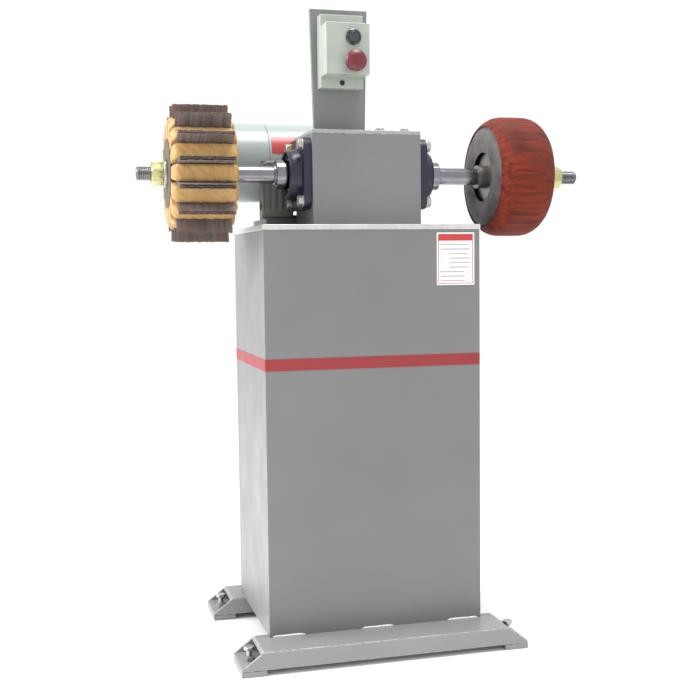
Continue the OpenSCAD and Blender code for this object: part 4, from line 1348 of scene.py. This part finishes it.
def slashed_cloth():
    """Three layers of cloth a station, each cut into narrow fingers with frayed ends."""
    work = bmesh.new()
    tone = work.verts.layers.float.new("tone")
    fray = work.verts.layers.float.new("fray")
    cut = random.Random(5)
    fingers, layers, steps = 27, 3, 6
    wide = strips_high.x - strips_low.x
    pitch = wide / fingers
    sheet = 0.0011
    root_r = hub_r - 0.006
    for s in range(stations):
        turn_to = Matrix.Rotation(wheel_phase + s * 2 * half_step, 3, "X")
        for layer in range(layers):
            offset = (layer - (layers - 1) / 2) * 0.0019
            flare = (layer - (layers - 1) / 2) * 0.0011
            for f in range(fingers):
                x0 = strips_low.x + pitch * f + cut.uniform(0, 0.0001)
                x1 = strips_low.x + pitch * (f + 1) - cut.uniform(0.0002, 0.00035)
                own = cut.random()
                reach_r = strip_r - cut.uniform(0.0002, 0.0016)
                curl = cut.uniform(-0.0004, 0.0004) + flare
                sway = cut.uniform(-0.00012, 0.00012)
                rings = []
                for k in range(steps + 1):
                    t = k / steps
                    r = root_r + (reach_r - root_r) * t
                    free = max(0.0, (r - brush_r * 0.86) / (strip_r - brush_r * 0.86))
                    y = offset + curl * free**2 * 1.6
                    side = sway * free
                    thin = sheet * (1 - 0.35 * free) / 2
                    ring = []
                    for x, dy in (
                        (x0, -thin),
                        (x1, -thin),
                        (x1, thin),
                        (x0, thin),
                    ):
                        narrow = 0.0001 * free * (1 if x == x0 else -1)
                        spot = turn_to @ Vector((0, y + dy, r))
                        v = work.verts.new(
                            (
                                min(max(x + side + narrow, strips_low.x), strips_high.x),
                                spindle_y + spot.y,
                                spindle_z + spot.z,
                            )
                        )
                        v[tone] = own
                        v[fray] = free
                        ring.append(v)
                    rings.append(ring)
                for a, b in zip(rings, rings[1:]):
                    for i in range(4):
                        j = (i + 1) % 4
                        work.faces.new((a[i], a[j], b[j], b[i]))
                work.faces.new(rings[0][::-1])
                work.faces.new(rings[-1])
    return closed_mesh(work, "slashed_cloth", 40)


grit = new_material("abrasive_cloth", Sheen_Weight=0.1)
grain = noise(grit, 1500, 2, roughness=0.7)
own = spread(grit, attribute(grit, "tone"), 0.0, 1.0)
base = blended(grit, own, linear(82, 76, 75), linear(118, 109, 107))
patchy = spread(grit, noise(grit, 26, 4), 0.5, 0.68, 0.0, 0.7)
base = blended(grit, patchy, base, linear(112, 76, 70))
speckle = spread(grit, grain, 0.55, 0.7)
base = blended(grit, sum_of(grit, "MULTIPLY", speckle, 0.7), base, linear(176, 160, 150))
frayed = sum_of(grit, "POWER", attribute(grit, "fray"), 3.0)
frayed = sum_of(grit, "MULTIPLY", frayed, 0.3)
base = blended(grit, frayed, base, linear(128, 104, 88))
finish_with(grit, base, spread(grit, grain, 0.3, 0.7, 0.7, 0.95), grain, 0.0003)
add_piece(
    "slashed_cloth", slashed_cloth(), grit, "abrasive_cloth", "spindle", "abrasive_strips"
)
dress("brush_wheel_hub", enamel("hub_brown", linear(74, 66, 50), roughness=0.6, grime=0.7))

# ---------------------------------------------------------------------------
# Drum. A rubber bladder on a turned hub is pumped up inside a spliced abrasive
# sleeve. The sleeve is crowned and worn, with wide shoulders and streaks across
# its face. The rubber side wall is dished towards the shaft.
# ---------------------------------------------------------------------------
sleeve_low, sleeve_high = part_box("drum_sleeve")
drum_r = (sleeve_high.y - sleeve_low.y) / 2
drum_w = sleeve_high.x - sleeve_low.x
sleeve_t = 0.003


def drum_outline(inset, from_r):
    """The drum's crowned section from its left side to its right, set in from its skin."""
    shoulder, crown = 0.040, 0.0024
    half = drum_w / 2
    points = []
    for i in range(25):
        t = i / 24
        if t < 0.3:
            a = math.pi / 2 * t / 0.3
            x = -half + shoulder - (shoulder - inset) * math.cos(a)
            r = drum_r - crown - shoulder + (shoulder - inset) * math.sin(a)
        elif t > 0.7:
            a = math.pi / 2 * (1 - t) / 0.3
            x = half - shoulder + (shoulder - inset) * math.cos(a)
            r = drum_r - crown - shoulder + (shoulder - inset) * math.sin(a)
        else:
            x = (t - 0.5) / 0.2 * (half - shoulder)
            r = drum_r - inset - crown
        r += crown * (1 - (x / half) ** 2)
        if r >= from_r:
            points.append((r, x + half))
    return points


work = bmesh.new()
sleeve_edge = drum_r - 0.019
outer = drum_outline(0.0, sleeve_edge)
inner = drum_outline(sleeve_t, sleeve_edge - 0.001)
lathe(work, outer + inner[::-1], on_spindle(sleeve_low.x), around=160)
splice = work.verts.layers.float.new("splice")
for v in work.verts:
    across = (v.co.x - sleeve_low.x) / drum_w
    angle = math.atan2(v.co.z - spindle_z, v.co.y - spindle_y)
    lap = (angle - 1.9 - across * 0.9 + math.pi) % (2 * math.pi) - math.pi
    v[splice] = max(0.0, 1 - abs(lap) / 0.05)
sleeve_mesh = closed_mesh(work, "worn_sleeve", 50)
sleeve_cloth = new_material("sleeve_cloth", Specular_IOR_Level=0.2)
grain = noise(sleeve_cloth, 1300, 2, roughness=0.7)
worn_lines = noise(sleeve_cloth, 46, 6, stretch=(0.22, 2.2, 2.2), roughness=0.65)
cloud = noise(sleeve_cloth, 11, 5)
base = blended(
    sleeve_cloth,
    spread(sleeve_cloth, worn_lines, 0.36, 0.62),
    linear(72, 27, 20),
    linear(126, 46, 28),
)
base = blended(
    sleeve_cloth,
    spread(sleeve_cloth, cloud, 0.48, 0.68, 0.0, 0.65),
    base,
    linear(84, 46, 42),
)
base = blended(
    sleeve_cloth,
    sum_of(sleeve_cloth, "MULTIPLY", spread(sleeve_cloth, grain, 0.56, 0.7), 0.5),
    base,
    linear(142, 70, 46),
)
base = blended(
    sleeve_cloth,
    sum_of(sleeve_cloth, "MULTIPLY", attribute(sleeve_cloth, "splice"), 0.7),
    base,
    linear(82, 54, 50),
)
finish_with(
    sleeve_cloth,
    base,
    spread(sleeve_cloth, grain, 0.3, 0.7, 0.62, 0.9),
    sum_of(sleeve_cloth, "ADD", grain, attribute(sleeve_cloth, "splice")),
    0.00035,
)
add_piece(
    "worn_sleeve", sleeve_mesh, sleeve_cloth, "abrasive_sleeve", "spindle", "drum_sleeve"
)
work = bmesh.new()
hub_disc_low, hub_disc_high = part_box("drum_hub")
hub_edge = (hub_disc_high.z - hub_disc_low.z) / 2 + 0.0001
skin_outline = drum_outline(sleeve_t + 0.0004, hub_edge)
inner_outline = [(r - 0.008, x) for r, x in drum_outline(0.0115, hub_edge + 0.008)]
side_left = skin_outline[0][1]
bulge = 0.0026
wall_left = [
    (hub_edge + (skin_outline[0][0] - hub_edge) * i / 8, side_left + bulge * (1 - i / 8) ** 2 * 2)
    for i in range(8)
]
wall_right = [(r, drum_w - x) for r, x in wall_left[::-1]]
lathe(
    work,
    wall_left + skin_outline + wall_right + inner_outline[::-1],
    on_spindle(sleeve_low.x),
    around=128,
)
rubber = new_material("bladder_rubber")
finish_with(
    rubber,
    colour=blended(
        rubber,
        spread(rubber, noise(rubber, 24, 6), 0.35, 0.7),
        linear(60, 57, 58),
        linear(100, 96, 96),
    ),
    roughness=spread(rubber, noise(rubber, 70, 4), 0.3, 0.7, 0.5, 0.75),
    height=noise(rubber, 350, 4),
    depth=0.0002,
)
add_piece(
    "rubber_bladder",
    closed_mesh(work, "rubber_bladder", 40),
    rubber,
    "grey_rubber",
    "spindle",
    "drum_bladder",
)
dress("drum_hub", plated("drum_hub_metal", linear(150, 146, 142), roughness=0.4))

# ---------------------------------------------------------------------------
# Mast. A folded plate, a little wider at its top, on a foot that is bolted to
# the headstock's lid with two hexagon bolts.
# ---------------------------------------------------------------------------
eased_copy("mast", cabinet_enamel, "grey_paint", 0.0009, 2, shortest=0.012)
mast_foot_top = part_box("mast")[0].z + 0.003
mast_bolts = set_out(
    "mast_bolts_finished",
    bolt_mesh("m8_mast_bolt", 0.013, 0.0053, 0.004, 0.0098, washer=0.0082),
    [
        (Vector((c.x, c.y, mast_foot_top)), upwards)
        for c, _, _ in centres_of("mast_bolts", (0, 1), 0.015)
    ],
    zinc,
)
add_piece(
    "mast_bolts_finished", mast_bolts, None, "zinc_steel", "machine_frame", "mast_bolts"
)

# ---------------------------------------------------------------------------
# Switch box. A moulded tray on the mast with a deep cover, held by one screw in
# its lip. The start button is flush in a black collar and the stop button is a
# red mushroom; both push a contact block.
# ---------------------------------------------------------------------------
def moulded(name, colour, roughness=0.38, texture=0.00005, gloss=0.2):
    """Moulded plastic: very even, with a fine spark texture and handling marks."""
    material = new_material(name, Coat_Weight=gloss, Coat_Roughness=0.15)
    handled = spread(material, noise(material, 22, 6), 0.45, 0.7)
    tone = blended(material, handled, scaled(colour, 1.03), scaled(colour, 0.88))
    # Edges lightened: handling wear together with a painted highlight.
    worn_and_highlit = sum_of(material, "MULTIPLY", attribute(material, "edge"), 0.25)
    tone = blended(material, worn_and_highlit, tone, scaled(colour, 1.5))
    sheen = spread(material, handled, 0, 1, roughness, roughness + 0.15)
    return finish_with(material, tone, sheen, noise(material, 1400, 2), texture)


box_plastic = moulded("box_plastic", linear(158, 165, 156))
black_plastic = moulded("black_plastic", linear(30, 33, 36), 0.22, 0.00001, 0.6)
red_plastic = moulded("red_plastic", linear(100, 14, 28), 0.32, 0.00001, 0.25)
eased_copy("switch_tray", box_plastic, "switch_box_shell", 0.0018, 3, shortest=0.01)
eased_copy("switch_cover", box_plastic, "switch_box_shell", 0.0019, 3, shortest=0.01)
dress("contact_blocks", black_plastic)
cover_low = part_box("switch_cover")[0]
start_low, start_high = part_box("start_button")
stop_low, stop_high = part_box("stop_button")
tray_low, tray_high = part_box("switch_tray")
out_front = Matrix.Rotation(math.pi / 2, 4, "X")
button_x = (start_low.x + start_high.x) / 2
start_z = (start_low.z + start_high.z) / 2
stop_z = (stop_low.z + stop_high.z) / 2


def facing_front(x, y, z):
    return Matrix.Translation((x, y, z)) @ out_front


neck_r, neck_len, stem_r = 0.01098, 0.012, 0.006
neck_in, flare_len = 0.001, 0.0008
work = bmesh.new()
start_collar, stop_collar = (0.01425, 0.004), (0.01475, 0.008)
lathe(
    work,
    rounded(
        [
            (stem_r + 0.0001, -neck_len),
            (neck_r, -neck_len),
            (neck_r, 0),
            (start_collar[0], 0),
            (start_collar[0], start_collar[1] * 0.55),
            (start_collar[0] - 0.0022, start_collar[1]),
            (0.0103, start_collar[1]),
            (0.0100, start_collar[1] - 0.0012),
            (0.0100, -0.005),
            (stem_r + 0.0001, -0.005),
        ],
        0.0008,
    ),
    facing_front(button_x, cover_low.y, start_z),
    around=72,
)
lathe(
    work,
    rounded(
        [
            (stem_r + 0.0001, -neck_len),
            (neck_r, -neck_len),
            (neck_r, 0),
            (stop_collar[0], 0),
            (stop_collar[0], stop_collar[1] * 0.4),
            (stop_collar[0] - 0.002, stop_collar[1]),
            (stem_r + 0.0001, stop_collar[1]),
        ],
        0.0008,
    ),
    facing_front(button_x, cover_low.y, stop_z),
    around=72,
)
add_piece(
    "button_collars_finished",
    closed_mesh(work, "button_collars_finished", 32),
    black_plastic,
    "black_plastic",
    "machine_frame",
    "button_collars",
)
work = bmesh.new()
start_face = cover_low.y - start_low.y
cap_r = 0.0097
lathe(
    work,
    rounded(
        [
            (0, -neck_len - neck_in),
            (stem_r, -neck_len - neck_in),
            (stem_r, 0.0003),
            (cap_r, 0.0003),
            (cap_r, start_face - 0.0004),
            (cap_r * 0.86, start_face),
            (0, start_face - 0.0009),
        ],
        0.0008,
    ),
    facing_front(button_x, cover_low.y, start_z),
    around=72,
)
add_piece(
    "start_cap",
    closed_mesh(work, "start_cap", 32),
    moulded("start_green_black", linear(26, 38, 42), 0.16, 0.00001, 0.8),
    "black_plastic",
    "start_push",
    "start_button",
)
work = bmesh.new()
stop_r = (stop_high.x - stop_low.x) / 2
stop_face = cover_low.y - stop_low.y
stop_under = 0.016
lathe(
    work,
    rounded(
        [
            (0, -neck_len - neck_in),
            (stem_r, -neck_len - neck_in),
            (stem_r, stop_under - flare_len),
            (stem_r + 0.001, stop_under),
            (stop_r - 0.0025, stop_under),
            (stop_r, stop_under + 0.002),
            (stop_r, stop_under + 0.0045),
            (stop_r * 0.93, stop_under + 0.0065),
            (stop_r * 0.6, stop_face - 0.0016),
            (0, stop_face),
        ],
        0.0022,
        4,
    ),
    facing_front(button_x, cover_low.y, stop_z),
    around=96,
)
add_piece(
    "stop_mushroom",
    closed_mesh(work, "stop_mushroom", 40),
    red_plastic,
    "red_plastic",
    "stop_push",
    "stop_button",
)
lip_screw = set_out(
    "lip_screw",
    pan_mesh("m5_lip", 0.0045, 0.003, 0.0025, 0.007, 0.0016),
    [
        (
            Vector(
                (
                    (tray_low.x + tray_high.x) / 2,
                    tray_low.y,
                    sum(c.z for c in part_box("switch_cover_screw")) / 2,
                )
            ),
            (math.pi / 2, 0.0, 0.0),
        )
    ],
    black_oxide,
)
add_piece(
    "lip_screw", lip_screw, None, "dark_steel", "machine_frame", "switch_cover_screw"
)
